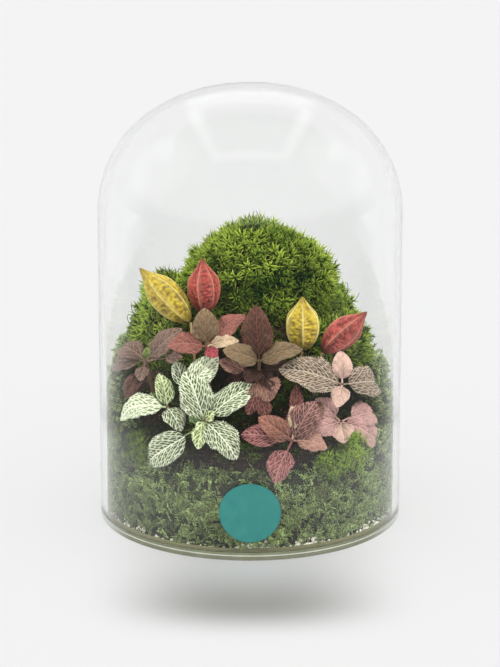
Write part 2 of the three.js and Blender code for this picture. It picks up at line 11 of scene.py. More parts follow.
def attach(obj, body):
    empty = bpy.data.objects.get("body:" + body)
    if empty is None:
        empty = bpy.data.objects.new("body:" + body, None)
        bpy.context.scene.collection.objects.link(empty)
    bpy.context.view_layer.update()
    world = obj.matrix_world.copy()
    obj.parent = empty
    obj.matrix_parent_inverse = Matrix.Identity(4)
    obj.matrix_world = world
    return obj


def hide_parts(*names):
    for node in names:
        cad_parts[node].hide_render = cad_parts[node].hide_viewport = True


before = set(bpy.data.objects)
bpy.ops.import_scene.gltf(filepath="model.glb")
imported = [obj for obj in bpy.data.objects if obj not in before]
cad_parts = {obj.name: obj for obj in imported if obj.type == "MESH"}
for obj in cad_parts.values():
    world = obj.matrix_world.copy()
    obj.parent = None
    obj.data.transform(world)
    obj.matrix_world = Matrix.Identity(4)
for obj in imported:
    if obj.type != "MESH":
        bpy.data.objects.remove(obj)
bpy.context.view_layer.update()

# ---------------------------------------------------------------- base plate
# A clear glass disc, 200 mm across and 6 mm thick, that everything stands on. Its rim is ground and
# polished to a small round; the bright lines and the dark olive band under the moss are painted into its
# colour.
MM = 0.001
JAR_RADIUS = 100 * MM
PLATE_THICKNESS = 6 * MM
PLATE_TOP = 5.94
SPIN_STEPS = 144
PAINTED_RIM_RADIUS = 98.5 * MM
PAINTED_RIM_HEIGHT = 0.999

# Outlines hold (radius, height) in mm. The plate's top stops a hair under the jar's mouth.
PLATE_OUTLINE = [(0, 0), (99.2, 0), (99.6, 0.12), (99.9, 0.4), (100, 0.9), (100, 5.5), (99.95, 5.8),
                 (99.8, PLATE_TOP), (99.5, PLATE_TOP), (96, PLATE_TOP), (0, PLATE_TOP)]

# The rim's painted light from its foot (0) to its top (1): painted pale lines at the foot and half-way,
# and elsewhere dark olive, a painted view of the moss through the glass.
PAINTED_RIM_BANDS = [(0, (0.6, 0.6, 0.5, 1)), (0.07, (0.09, 0.09, 0.05, 1)), (0.5, (0.11, 0.11, 0.06, 1)),
             (0.54, (0.9, 0.9, 0.76, 1)), (0.61, (0.9, 0.9, 0.76, 1)), (0.66, (0.11, 0.13, 0.06, 1)),
             (1, (0.1, 0.12, 0.05, 1))]


def srgb(red, green, blue):
    """A colour read as 0-255 values, as linear light."""
    shares = [value / 255 for value in (red, green, blue)]
    return [share / 12.92 if share < 0.04045 else ((share + 0.055) / 1.055) ** 2.4 for share in shares] + [1]


def deselect_all():
    bpy.ops.object.select_all(action="DESELECT")


def take(piece):
    """Makes one object the selected and active one."""
    deselect_all()
    piece.select_set(True)
    bpy.context.view_layer.objects.active = piece


def mesh_object(name, points, edges, faces):
    mesh = bpy.data.meshes.new(name)
    mesh.from_pydata(points, edges, faces)
    mesh.update()
    piece = bpy.data.objects.new(name, mesh)
    bpy.context.collection.objects.link(piece)
    return piece


def edit_mesh(piece, tool, **settings):
    """Runs one of Blender's mesh tools on the whole of a piece."""
    take(piece)
    bpy.ops.object.mode_set(mode="EDIT")
    bpy.ops.mesh.select_all(action="SELECT")
    tool(**settings)
    bpy.ops.object.mode_set(mode="OBJECT")


def in_metres(outline):
    return [(radius * MM, height * MM) for radius, height in outline]


def spun_piece(name, outline, smooth_angle):
    """An outline of (radius, height) points in metres, turned once round the jar's axis."""
    points = [(radius, 0, height) for radius, height in outline]
    edges = [(i, i + 1) for i in range(len(points) - 1)]
    piece = mesh_object(name, points, edges, [])
    edit_mesh(piece, bpy.ops.mesh.spin, steps=SPIN_STEPS, angle=2 * math.pi, center=(0, 0, 0), axis=(0, 0, 1))
    edit_mesh(piece, bpy.ops.mesh.remove_doubles, threshold=0.01 * MM)
    edit_mesh(piece, bpy.ops.mesh.normals_make_consistent, inside=False)
    bpy.ops.object.shade_smooth_by_angle(angle=math.radians(smooth_angle))
    return piece


def add_node(tree, kind, values=None, **settings):
    """Adds a shader node. values gives its inputs, by name or number, as sockets or plain values."""
    made = tree.nodes.new("ShaderNode" + kind)
    for key, value in settings.items():
        setattr(made, key, value)
    for key, value in (values or {}).items():
        if isinstance(value, bpy.types.NodeSocket):
            tree.links.new(value, made.inputs[key])
        else:
            made.inputs[key].default_value = value
    return made


def math_node(tree, operation, *values):
    return add_node(tree, "Math", dict(enumerate(values)), operation=operation).outputs[0]


def object_place(tree):
    return add_node(tree, "TexCoord").outputs["Object"]


def fine_noise(tree, scale, detail):
    values = {"Vector": object_place(tree), "Scale": scale, "Detail": detail}
    return add_node(tree, "TexNoise", values).outputs[0]


def mapped(tree, value, low, high, start=0.0, end=1.0, easing="LINEAR"):
    """Maps a value's stretch from low to high onto start to end, and holds it at both ends."""
    values = {"Value": value, 1: low, 2: high, 3: start, 4: end}
    return add_node(tree, "MapRange", values, interpolation_type=easing).outputs[0]


def ramp(tree, factor, stops):
    """A colour ramp of (position, colour) stops."""
    made = add_node(tree, "ValToRGB", {"Fac": factor})
    elements = made.color_ramp.elements
    elements[0].position, elements[0].color = stops[0]
    elements[1].position, elements[1].color = stops[-1]
    for position, colour in stops[1:-1]:
        elements.new(position).color = colour
    return made.outputs["Color"]


def mix_colour(tree, factor, first, second, blend="MIX"):
    made = add_node(tree, "Mix", {"Factor": factor}, data_type="RGBA", blend_type=blend)
    for socket, value in ((made.inputs[6], first), (made.inputs[7], second)):
        if isinstance(value, bpy.types.NodeSocket):
            tree.links.new(value, socket)
        else:
            socket.default_value = value
    return made.outputs[2]


def new_material(name, roughness):
    material = bpy.data.materials.new(name)
    material.use_nodes = True
    shader = material.node_tree.nodes["Principled BSDF"]
    shader.inputs["Roughness"].default_value = roughness
    return material, material.node_tree, shader


def give_relief(tree, shader, height, strength, depth):
    """Roughens a finish by a height that varies over it, to a depth in metres."""
    bump = add_node(tree, "Bump", {"Strength": strength, "Distance": depth, "Height": height})
    tree.links.new(bump.outputs[0], shader.inputs["Normal"])


def fit_out(piece, material, slot, *nodes):
    """Gives a piece its finish and its place in the frame."""
    piece.data.materials.clear()
    piece.data.materials.append(material)
    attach(piece, "root")
    if nodes:
        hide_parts(*nodes)


def clear_glass(name):
    """Clear glass with faint waves, which lets light through to what stands inside it. The plate's rim has
    painted light in its colour: painted bright lines and, as a painted view of the moss through the glass,
    olive bands at the front and a paler green behind."""
    material, tree, shader = new_material(name, 0)
    flat = add_node(tree, "VectorMath", {0: object_place(tree), 1: (1, 1, 0)}, operation="MULTIPLY")
    radius = add_node(tree, "VectorMath", {0: flat.outputs[0]}, operation="LENGTH").outputs["Value"]
    split = add_node(tree, "SeparateXYZ", {0: object_place(tree)})
    height = math_node(tree, "DIVIDE", split.outputs["Z"], PLATE_THICKNESS)
    outside = math_node(tree, "GREATER_THAN", radius, PAINTED_RIM_RADIUS)
    rim = math_node(tree, "MULTIPLY", outside, math_node(tree, "LESS_THAN", height, PAINTED_RIM_HEIGHT))
    rim_mottle = ramp(tree, fine_noise(tree, 70, 4), [(0.35, (0.7, 0.7, 0.7, 1)), (0.65, (1, 1, 1, 1))])
    mottled_bands = mix_colour(tree, 1.0, ramp(tree, height, PAINTED_RIM_BANDS), rim_mottle, "MULTIPLY")
    turned = mapped(tree, split.outputs["Y"], -0.06, -0.02)
    # The olive bands and the paler green behind are a painted view of the moss through the glass.
    olive = mix_colour(tree, turned, mottled_bands, (0.75, 0.78, 0.68, 1))
    tree.links.new(mix_colour(tree, rim, (0.993, 0.998, 0.994, 1), olive), shader.inputs["Base Color"])
    shader.inputs["Transmission Weight"].default_value = 1
    shader.inputs["IOR"].default_value = 1.47
    give_relief(tree, shader, fine_noise(tree, 9, 1), 0.04, 0.002)
    path = add_node(tree, "LightPath")
    passing = math_node(tree, "MAXIMUM", path.outputs["Is Shadow Ray"], path.outputs["Is Diffuse Ray"])
    facing = add_node(tree, "LayerWeight", {"Blend": 0.5}).outputs["Facing"]
    steep = mapped(tree, facing, 0.5, 1.0)
    thick = mix_colour(tree, steep, (0.995, 1, 0.995, 1), (0.8, 0.82, 0.8, 1))
    clear = add_node(tree, "BsdfTransparent", {"Color": thick})
    mixed = add_node(tree, "MixShader", {0: passing, 1: shader.outputs[0], 2: clear.outputs[0]})
    tree.links.new(mixed.outputs[0], tree.nodes["Material Output"].inputs["Surface"])
    return material


plate = spun_piece("base_plate", in_metres(PLATE_OUTLINE), 35)
fit_out(plate, clear_glass("plate_glass"), "clear_glass", "glass_base_plate")

# ---------------------------------------------------------------- pumice layer
# A thin bed of pale pumice grit on the plate, for drainage. It is loose, angular and dusty. A few grains
# have run out to the glass, where they lie as pale specks on a low ring of olive moss litter.
BED_RADIUS = 89 * MM
BED_OUTLINE = [(0, 6.05), (86, 6.05), (88.6, 6.4), (89.2, 7.4), (88, 8.4), (86, 8.6), (0, 8.8)]
LITTER_OUTLINE = [(94.2, 6.05), (94.5, 7.1), (95.1, 7.4), (95.6, 7.0), (95.7, 6.05)]
INNER_WALL = 95.7 * MM

# Grains lie in the bed, in small spills at the glass and all along its foot; ranges are in mm.
GRAINS = 900
GRAIN_SIZES = (0.8, 1.5)
GRAIN_HEIGHTS = (7.6, 9.6)
SPILL_ANGLES = (-147, -139, -93, -88, -82, -69, -65, -38, -31)
SPILL_GRAINS = 20
SPILL_RADII = (94.2, 95.2)
FOOT_GRAINS = 160
FOOT_RADII = (93.4, 95.0)
FOOT_HEIGHTS = (6.6, 7.7)


def copy_of_solid(node, name):
    """A copy of a solid's mesh, with the doubled corners of its loose triangles joined."""
    piece = bpy.data.objects.new(name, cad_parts[node].data.copy())
    bpy.context.collection.objects.link(piece)
    edit_mesh(piece, bpy.ops.mesh.remove_doubles, threshold=0.005 * MM)
    return piece


def new_shape(tool, **settings):
    """What one of Blender's tools for simple meshes makes, such as a grid or a ball."""
    deselect_all()
    tool(**settings)
    return bpy.context.object


def corners(piece):
    """The places of a mesh's corners, as an array."""
    flat = np.empty(3 * len(piece.data.vertices))
    piece.data.vertices.foreach_get("co", flat)
    return flat.reshape(-1, 3)


def move_corners(piece, points):
    piece.data.vertices.foreach_set("co", np.ascontiguousarray(points, dtype=np.float32).ravel())
    piece.data.update()


def paint(piece, attribute, values, kind="FLOAT"):
    """Writes one value, or one value for each corner, as an attribute of a mesh."""
    count = len(piece.data.vertices)
    layer = piece.data.attributes.new(attribute, kind, "POINT")
    field = "color" if kind == "FLOAT_COLOR" else "value"
    width = 4 if kind == "FLOAT_COLOR" else 1
    full = np.broadcast_to(np.asarray(values, dtype=np.float32).reshape(-1, width), (count, width))
    layer.data.foreach_set(field, np.ascontiguousarray(full).ravel())


def join_as(name, pieces):
    """Joins objects into the first one and names it."""
    take(pieces[0])
    for piece in pieces[1:]:
        piece.select_set(True)
    bpy.ops.object.join()
    pieces[0].name = name
    pieces[0].data.name = name
    return pieces[0]


def shape_arrays(piece):
    """A modelled object as arrays of points and triangles, with the object then removed."""
    piece.data.calc_loop_triangles()
    triangles = np.array([list(triangle.vertices) for triangle in piece.data.loop_triangles])
    points = corners(piece)
    bpy.data.objects.remove(piece)
    return points, triangles


def scattered(name, shapes, places):
    """One mesh of many copies. places holds origin, axis, size, turn and tint for each copy.
    A shape is (points, triangles, along), where along runs from 0 at its foot to 1 at its tips."""
    picks = np.arange(len(places["origin"])) % len(shapes)
    all_points, all_triangles, all_along, all_tint = [], [], [], []
    start = 0
    for number, (points, triangles, along) in enumerate(shapes):
        chosen = picks == number
        axis = places["axis"][chosen]
        axis = axis / np.linalg.norm(axis, axis=1, keepdims=True)
        helper = np.where(np.abs(axis[:, 2:]) > 0.9, [[1.0, 0, 0]], [[0, 0, 1.0]])
        side = np.cross(helper, axis)
        side /= np.linalg.norm(side, axis=1, keepdims=True)
        other = np.cross(axis, side)
        cosine = np.cos(places["turn"][chosen])[:, None]
        sine = np.sin(places["turn"][chosen])[:, None]
        turned = side * cosine + other * sine
        crossed = other * cosine - side * sine
        spread = (points[None, :, 0:1] * turned[:, None] + points[None, :, 1:2] * crossed[:, None]
                  + points[None, :, 2:3] * axis[:, None])
        placed = places["origin"][chosen][:, None] + spread * places["size"][chosen][:, None, None]
        count = len(placed)
        steps = start + np.arange(count)[:, None, None] * len(points)
        all_points.append(placed.reshape(-1, 3))
        all_triangles.append((triangles[None] + steps).reshape(-1, 3))
        all_along.append(np.tile(along, count))
        all_tint.append(np.repeat(places["tint"][chosen], len(points)))
        start += count * len(points)
    points = np.concatenate(all_points)
    points[:, 2] = np.maximum(points[:, 2], PLATE_THICKNESS + 0.1 * MM)
    piece = mesh_object(name, pressed(points, INNER_WALL), [], np.concatenate(all_triangles))
    paint(piece, "along", np.concatenate(all_along))
    paint(piece, "tint", np.concatenate(all_tint))
    return piece


def pressed(points, wall, depth=2.2 * MM):
    """Holds points inside the glass: those that would pass it are pressed flat against it."""
    radius = np.hypot(points[:, 0], points[:, 1])
    over = np.maximum(radius - (wall - depth), 0)
    held = np.where(over > 0, wall - depth + depth * (1 - np.exp(-over / depth)), radius)
    points = points.copy()
    points[:, :2] *= (held / np.maximum(radius, 1e-9))[:, None]
    return points


def polar(angle, radius, height):
    return np.stack([radius * np.cos(angle), radius * np.sin(angle), height], axis=1)


def painted(tree, attribute, output="Fac"):
    return add_node(tree, "Attribute", attribute_name=attribute).outputs[output]


grain_ball = new_shape(bpy.ops.mesh.primitive_ico_sphere_add, subdivisions=1, radius=1)
grain_points, grain_triangles = shape_arrays(grain_ball)
grain_random = np.random.default_rng(11)
grain_shapes = []
for _ in range(5):
    knocked = grain_points * grain_random.uniform(0.7, 1.15, (len(grain_points), 1))
    grain_shapes.append((knocked * (1, 0.85, 0.7), grain_triangles, np.ones(len(grain_points))))
grain_angle = grain_random.uniform(-math.pi, math.pi, GRAINS)
grain_radius = BED_RADIUS * np.sqrt(grain_random.uniform(0.05, 0.97, GRAINS))
grain_height = grain_random.uniform(*GRAIN_HEIGHTS, GRAINS) * MM
spill_angle = np.repeat(np.radians(SPILL_ANGLES), SPILL_GRAINS)
spill_angle = spill_angle + grain_random.normal(0, 0.03, len(spill_angle))
spill_radius = grain_random.uniform(*SPILL_RADII, len(spill_angle)) * MM
spill_height = (7.2 + 4.5 * grain_random.uniform(0, 1, len(spill_angle)) ** 2) * MM
foot_angle = grain_random.uniform(-math.pi, math.pi, FOOT_GRAINS)
foot_radius = grain_random.uniform(*FOOT_RADII, FOOT_GRAINS) * MM
foot_height = grain_random.uniform(*FOOT_HEIGHTS, FOOT_GRAINS) * MM
grain_origin = np.concatenate([polar(grain_angle, grain_radius, grain_height),
                               polar(spill_angle, spill_radius, spill_height),
                               polar(foot_angle, foot_radius, foot_height)])
grain_total = len(grain_origin)
grain_places = {
    "origin": grain_origin,
    "axis": grain_random.normal(0, 1, (grain_total, 3)),
    "size": grain_random.uniform(*GRAIN_SIZES, grain_total) * MM,
    "turn": grain_random.uniform(0, 6.3, grain_total),
    "tint": grain_random.uniform(0.2, 1, grain_total),
}
grains = scattered("pumice_grains", grain_shapes, grain_places)
bed = spun_piece("pumice_bed", in_metres(BED_OUTLINE), 50)
litter = spun_piece("moss_litter", in_metres(LITTER_OUTLINE), 50)
paint(bed, "tint", 0)
paint(litter, "tint", 0)
pumice = join_as("pumice_grit", [grains, bed, litter])

pumice_material, tree, shader = new_material("pumice", 0.95)
pale = ramp(tree, painted(tree, "tint"), [(0, srgb(96, 98, 62)), (0.15, srgb(190, 182, 162)),
                                          (0.4, srgb(228, 224, 208)), (1, srgb(246, 244, 234))])
dust = math_node(tree, "MULTIPLY", fine_noise(tree, 900, 3), 0.35)
tree.links.new(mix_colour(tree, dust, pale, srgb(150, 138, 115)), shader.inputs["Base Color"])
pits = add_node(tree, "TexVoronoi", {"Vector": object_place(tree), "Scale": 1600}).outputs["Distance"]
give_relief(tree, shader, pits, 0.5, 0.0003)
fit_out(pumice, pumice_material, "pumice", "pumice_layer")

# ---------------------------------------------------------------- soil
# Damp dark potting soil, heaped into a steep hill with a straight planting slope at the front. It is
# crumbly, with bits of bark and pale perlite, and only shows in the gaps between the plants and the moss.

# The hill in mm: its top in plan, its height, how fast it curves down, and the slope at the front.
HILL_TOP = (5, 15)
SOIL_PEAK = 172
LEFT_CURVE = 0.0108
RIGHT_CURVE = 0.0135
FRONT_SLOPE = 1.24
FRONT_PEAK = 182
SOIL_CRUMB = 1.1 * MM


def smoothstep(low, high, value):
    share = np.clip((value - low) / (high - low), 0, 1)
    return share * share * (3 - 2 * share)


def soil_height(x, y):
    """Height of the soil hill over (x, y), all in metres."""
    dx = np.asarray(x) / MM - HILL_TOP[0]
    dy = np.asarray(y) / MM - HILL_TOP[1]
    distance = np.maximum(np.hypot(dx, dy), 1)
    front = smoothstep(0.2, 0.85, -dy / distance)
    hill = SOIL_PEAK - np.where(dx > 0, RIGHT_CURVE, LEFT_CURVE) * distance**2
    slope = np.minimum(SOIL_PEAK, FRONT_PEAK - FRONT_SLOPE * distance)
    return (hill + (slope - hill) * front) * MM


def crumbled(piece, amount, scale, cuts):
    """Cuts a mesh finer and knocks its corners about by a noise."""
    edit_mesh(piece, bpy.ops.mesh.subdivide, number_cuts=cuts)
    bpy.ops.object.shade_smooth()
    points = corners(piece)
    normals = np.array([list(corner.normal) for corner in piece.data.vertices])
    shift = np.array([noise.fractal(Vector(point) * scale, 0.6, 2.1, 3) for point in points])
    move_corners(piece, points + normals * (amount * shift)[:, None])


soil = copy_of_solid("soil", "soil_hill")
crumbled(soil, SOIL_CRUMB, 260, 3)
soil_material, tree, shader = new_material("soil", 0.9)
crumbs = fine_noise(tree, 420, 8)
earth = ramp(tree, crumbs, [(0.3, srgb(14, 9, 7)), (0.55, srgb(44, 31, 23)), (0.75, srgb(82, 62, 46))])
bits = add_node(tree, "TexVoronoi", {"Vector": object_place(tree), "Scale": 330}).outputs["Distance"]
perlite = math_node(tree, "LESS_THAN", bits, 0.09)
tree.links.new(mix_colour(tree, perlite, earth, srgb(170, 160, 140)), shader.inputs["Base Color"])
give_relief(tree, shader, crumbs, 0.8, 0.001)
fit_out(soil, soil_material, "soil", "soil")

# ---------------------------------------------------------------- sheet moss
# Dull olive sheet moss, laid against the glass all round in six pieces and pressed flat on it. It is a
# mat of feathery, curled fronds 9 to 17 mm long, with brown old growth and dark gaps behind them; the dark
# of the gaps is painted shade, at the fronds' feet and on the mat.

# The moss line on the glass, as (degrees, mm), and how far its top slopes up towards the hill (mm).
RIM_HEIGHTS = [(-180, 88), (-160, 70), (-145, 42), (-115, 40), (-60, 41), (-35, 43), (-15, 60), (0, 78),
               (40, 92), (90, 102), (140, 100), (180, 88)]
BACK_RISE = 28
FRONT_RISE = 16
SHEET_INNER = 80 * MM
SHEET_OUTER = 95.3 * MM
SHEET_FOOT = 7.0 * MM
MAT_INSET = 3.6 * MM
FROND_SPACING = 3.2 * MM
FROND_SIZES = (9, 17)
FROND_BARBS = 5
FROND_SINK = 6 * MM
SHEETS = [("front", -120, -60), ("front_right", -60, 0), ("back_right", 0, 60), ("back", 60, 120),
          ("back_left", 120, 180), ("front_left", -180, -120)]


def rim_height(angle):
    """Height of the moss on the glass at an angle in degrees, eased between the measured marks."""
    angle = (np.asarray(angle) + 180) % 360 - 180
    height = np.zeros_like(angle)
    for (start, low), (end, high) in zip(RIM_HEIGHTS, RIM_HEIGHTS[1:]):
        inside = (angle >= start) & (angle <= end)
        height = np.where(inside, low + (high - low) * smoothstep(start, end, angle), height)
    return height * MM


def rim_rise(angle):
    facing = np.cos(np.radians(angle + 90))
    return (BACK_RISE + (FRONT_RISE - BACK_RISE) * smoothstep(0.2, 0.8, facing)) * MM


def spike():
    """A slim three-sided needle of length 1 and width 1 on the origin, widest a little below its middle."""
    cone = bpy.ops.mesh.primitive_cone_add
    lower = new_shape(cone, vertices=3, radius1=0.26, radius2=0.5, depth=0.4, location=(0, 0, 0.2),
                      end_fill_type="NOTHING")
    upper = new_shape(cone, vertices=3, radius1=0.5, radius2=0, depth=0.6, location=(0, 0, 0.7),
                      end_fill_type="NOTHING")
    needle = join_as("needle", [upper, lower])
    bpy.ops.object.transform_apply(location=True)
    edit_mesh(needle, bpy.ops.mesh.remove_doubles, threshold=0.001)
    return shape_arrays(needle)


spike_points, spike_triangles = spike()


def spikes_shape(spikes, bend):
    """A shape of many needles, each given as foot, direction, flat side, length, width and thickness,
    and all bent away from their flat side."""
    points, triangles, along = [], [], []
    for number, (foot, direction, flat, length, width, thickness) in enumerate(spikes):
        direction = np.array(direction) / np.linalg.norm(direction)
        side = np.cross(flat, direction)
        side /= np.linalg.norm(side)
        face = np.cross(direction, side)
        rise = spike_points[:, 2:3]
        local = (spike_points[:, 0:1] * width * side + rise * length * direction
                 + (spike_points[:, 1:2] * thickness - bend * length * rise**2) * face)
        points.append(np.array(foot) + local)
        triangles.append(spike_triangles + number * len(spike_points))
        along.append(spike_points[:, 2])
    return np.concatenate(points), np.concatenate(triangles), np.concatenate(along)


def frond_shape(seed):
    """A curled feather of moss of length 1: three stem joints with barbs on both sides."""
    random = np.random.default_rng(seed)
    curl = random.uniform(0.5, 1.4)
    twist = random.uniform(-0.5, 0.5)
    spikes = []
    spine = [np.array([curl * 0.35 * t * t, twist * 0.3 * t * t, t * (1 - 0.25 * curl * t)])
             for t in np.linspace(0, 1, FROND_BARBS + 2)]
    for joint in (0, 2, 4):
        step = spine[joint + 2] - spine[joint]
        spikes.append((spine[joint], step, (0, 1, 0), np.linalg.norm(step) * 1.3, 0.065, 0.05))
    for joint in range(1, FROND_BARBS + 1):
        step = spine[joint + 1] - spine[joint]
        forward = step / np.linalg.norm(step)
        reach = 0.36 * (1.1 - joint / (FROND_BARBS + 3)) * random.uniform(0.75, 1.2)
        for hand in (-1, 1):
            direction = forward * 0.8 + np.array([0.25, hand, 0]) * random.uniform(0.6, 1.0)
            spikes.append((spine[joint], direction, (1, 0, 0.3), reach, 0.095, 0.04))
    return spikes_shape(spikes, 0.2)


def sheet_places(start, end, seed):
    """Even but random places on a sheet's face on the glass and on its sloping top."""
    random = np.random.default_rng(seed)
    middle = np.linspace(start, end, 40)
    longest = np.max(rim_height(middle) - SHEET_FOOT + np.hypot(SHEET_OUTER - SHEET_INNER, rim_rise(middle)))
    area = math.radians(end - start) * SHEET_OUTER * longest
    count = int(area / FROND_SPACING**2)
    angle = random.uniform(start, end, count)
    run = random.uniform(0, longest, count)
    wall = rim_height(angle) - SHEET_FOOT
    slope = np.hypot(SHEET_OUTER - SHEET_INNER, rim_rise(angle))
    keep = run < wall + slope
    angle, run, wall, slope = angle[keep], run[keep], wall[keep], slope[keep]
    up_slope = np.clip((run - wall) / slope, 0, 1)
    radius = SHEET_OUTER - MAT_INSET - (SHEET_OUTER - SHEET_INNER - MAT_INSET) * up_slope
    height = SHEET_FOOT + np.minimum(run, wall) + rim_rise(angle) * up_slope**0.8
    height -= FROND_SINK * smoothstep(-0.3, 0.1, (run - wall) / wall)
    origin = polar(np.radians(angle), radius, height)
    out = polar(np.radians(angle), np.ones_like(angle), np.zeros_like(angle))
    lean = up_slope[:, None] * np.array([[0, 0, 1.2]])
    loose = random.normal(0, 0.75, origin.shape)
    axis = out * 0.75 + lean + loose + np.array([[0, 0, 0.15]])
    inward = np.sum(axis * out, axis=1) < 0
    axis[inward] -= 1.4 * np.sum(axis[inward] * out[inward], axis=1, keepdims=True) * out[inward]
    total = len(origin)
    return {
        "origin": origin,
        "axis": axis,
        "size": random.uniform(*FROND_SIZES, total) * MM,
        "turn": random.uniform(0, 2 * math.pi, total),
        "tint": random.uniform(0, 1, total),
    }


def node_group(name, inputs, outputs):
    """An empty group of shader nodes, whose inputs and outputs give each socket's kind by its label."""
    group = bpy.data.node_groups.new(name, "ShaderNodeTree")
    for way, sockets in (("INPUT", inputs), ("OUTPUT", outputs)):
        for label, kind in sockets.items():
            group.interface.new_socket(label, in_out=way, socket_type="NodeSocket" + kind)
    return group, group.nodes.new("NodeGroupInput").outputs, group.nodes.new("NodeGroupOutput").inputs


def moss_group():
    """Colours a moss from painted shade at its shoots' feet to its bright tips, in patches of older and
    younger growth.
    """
    group, given, result = node_group(
        "moss_growth",
        {"Deep Shade": "Color", "Old": "Color", "Leaf": "Color", "Tip": "Color", "Patch Scale": "Float"},
        {"Color": "Color"},
    )
    along = painted(group, "along")
    patches = math_node(group, "MULTIPLY", fine_noise(group, given["Patch Scale"], 3), 0.9)
    # The tint adds to the growth's age; on the cushions it also carries painted light.
    age_and_light = math_node(group, "MULTIPLY_ADD", painted(group, "tint"), 0.55, patches)
    young = mapped(group, age_and_light, 0.42, 0.95)
    leaf = mix_colour(group, young, given["Old"], given["Leaf"])
    bright = math_node(group, "MULTIPLY", math_node(group, "POWER", along, 1.5), young)
    tipped = mix_colour(group, bright, leaf, given["Tip"])
    # Painted shade: each shoot is dark at its foot.
    lit = mapped(group, along, -0.02, 0.5)
    group.links.new(mix_colour(group, lit, given["Deep Shade"], tipped), result["Color"])
    return group


moss_growth = moss_group()


def moss_material(name, deep, old, leaf, tip, patch_scale):
    material, tree, shader = new_material(name, 0.75)
    shades = {"Deep Shade": srgb(*deep), "Old": srgb(*old), "Leaf": srgb(*leaf), "Tip": srgb(*tip)}
    growth = add_node(tree, "Group", {**shades, "Patch Scale": patch_scale}, node_tree=moss_growth)
    tree.links.new(growth.outputs["Color"], shader.inputs["Base Color"])
    shader.inputs["Specular IOR Level"].default_value = 0.25
    give_relief(tree, shader, fine_noise(tree, 1500, 2), 0.3, 0.0002)
    return material


def sheet_mat(points):
    """Draws a sheet's solid back from the glass, to leave room for its fronds."""
    radius = np.hypot(points[:, 0], points[:, 1])
    held = np.minimum(radius, SHEET_OUTER - MAT_INSET)
    drawn = points.copy()
    drawn[:, :2] *= (held / radius)[:, None]
    drawn[:, 2] -= np.where(points[:, 2] > 30 * MM, MAT_INSET * 0.6, 0)
    return drawn


def backed(name, growth, node, drawn_back, crumb):
    """Joins a growth of shoots to the mat that they stand on, made from the solid and painted dark as shade.
    """
    mat = copy_of_solid(node, name + "_mat")
    move_corners(mat, drawn_back(corners(mat)))
    crumbled(mat, crumb, 300, 1)
    # Painted shade: the mat takes the dark colour of the shoots' feet.
    paint(mat, "along", 0)
    paint(mat, "tint", 0)
    take(growth)
    bpy.ops.object.shade_smooth()
    return join_as(name, [growth, mat])


sheet_material = moss_material("sheet_moss", (26, 30, 14), (88, 98, 52), (124, 150, 74), (202, 220, 150), 34)
frond_shapes = [frond_shape(40 + number) for number in range(6)]
for number, (side, start, end) in enumerate(SHEETS):
    growth = scattered("fronds", frond_shapes, sheet_places(start, end, 50 + number))
    sheet = backed(f"sheet_moss_{side}_growth", growth, f"sheet_moss_{side}", sheet_mat, 1.2 * MM)
    fit_out(sheet, sheet_material, "sheet_moss", f"sheet_moss_{side}")

# ---------------------------------------------------------------- cushion moss
# Bright bun moss heaped on the hill in four cushions. Each is packed with star-like shoots of stiff, fine
# needles 3 to 12 mm long, yellow-green where young and deep green lower down, with near-black gaps. The
# gaps are painted shade at the shoots' feet and on the mat, and painted light makes the tops and sides paler.

# The cushions' middles and radii are given in mm, and then taken to metres.
CUSHIONS = [
    {"side": "top", "centre": (5, 15, 148), "radii": (51, 42, 47), "seed": 21, "shoots": 1150},
    {"side": "left", "centre": (-51, 12, 115), "radii": (28, 38, 42), "seed": 22, "shoots": 720},
    {"side": "right", "centre": (51, 8, 106), "radii": (26, 38, 37), "seed": 23, "shoots": 660},
    {"side": "back", "centre": (0, 56, 112), "radii": (50, 27, 36), "seed": 24, "shoots": 820},
]
CUSHION_LUMPS = 0.035
CUSHION_MAT = 0.86
CUSHION_REACH = 83 * MM
SHOOT_SINK = 7.0 * MM
SHOOT_SIZES = (9, 13.5)
SHOOT_NEEDLES = 19
GOLDEN_ANGLE = math.radians(137.5)

for cushion in CUSHIONS:
    cushion["centre"] = np.array(cushion["centre"]) * MM
    cushion["radii"] = np.array(cushion["radii"]) * MM


def star_shoot(seed):
    """A leafy moss shoot of length 1: curved needles all round its upper part, opening like a star."""
    random = np.random.default_rng(seed)
    spikes = []
    for number in range(SHOOT_NEEDLES):
        share = number / (SHOOT_NEEDLES - 1)
        tilt = math.radians(74 - 58 * share + random.normal(0, 9))
        turn = number * GOLDEN_ANGLE + random.normal(0, 0.3)
        direction = (math.sin(tilt) * math.cos(turn), math.sin(tilt) * math.sin(turn), math.cos(tilt))
        length = (0.72 - 0.22 * share) * random.uniform(0.7, 1.3)
        spikes.append(((0, 0, 0.2 + 0.42 * share), direction, (0.05, 0.05, 1), length, 0.125, 0.05))
    return spikes_shape(spikes, 0.26)


def cushion_surface(cushion, directions):
    """Points on a cushion's lumpy face, with the directions that they face."""
    seed = cushion["seed"]
    waves = (np.sin(5 * directions[:, 0] + seed) + np.sin(6 * directions[:, 1] + 2 * seed)
             + np.sin(5 * directions[:, 2] + 3 * seed))
    points = cushion["centre"] + directions * cushion["radii"] * (1 + CUSHION_LUMPS * waves)[:, None]
    facing = directions / cushion["radii"]
    return points, facing / np.linalg.norm(facing, axis=1, keepdims=True)


def inside_cushion(points, cushion, share):
    offset = (points - cushion["centre"]) / cushion["radii"]
    return np.linalg.norm(offset, axis=1) < share


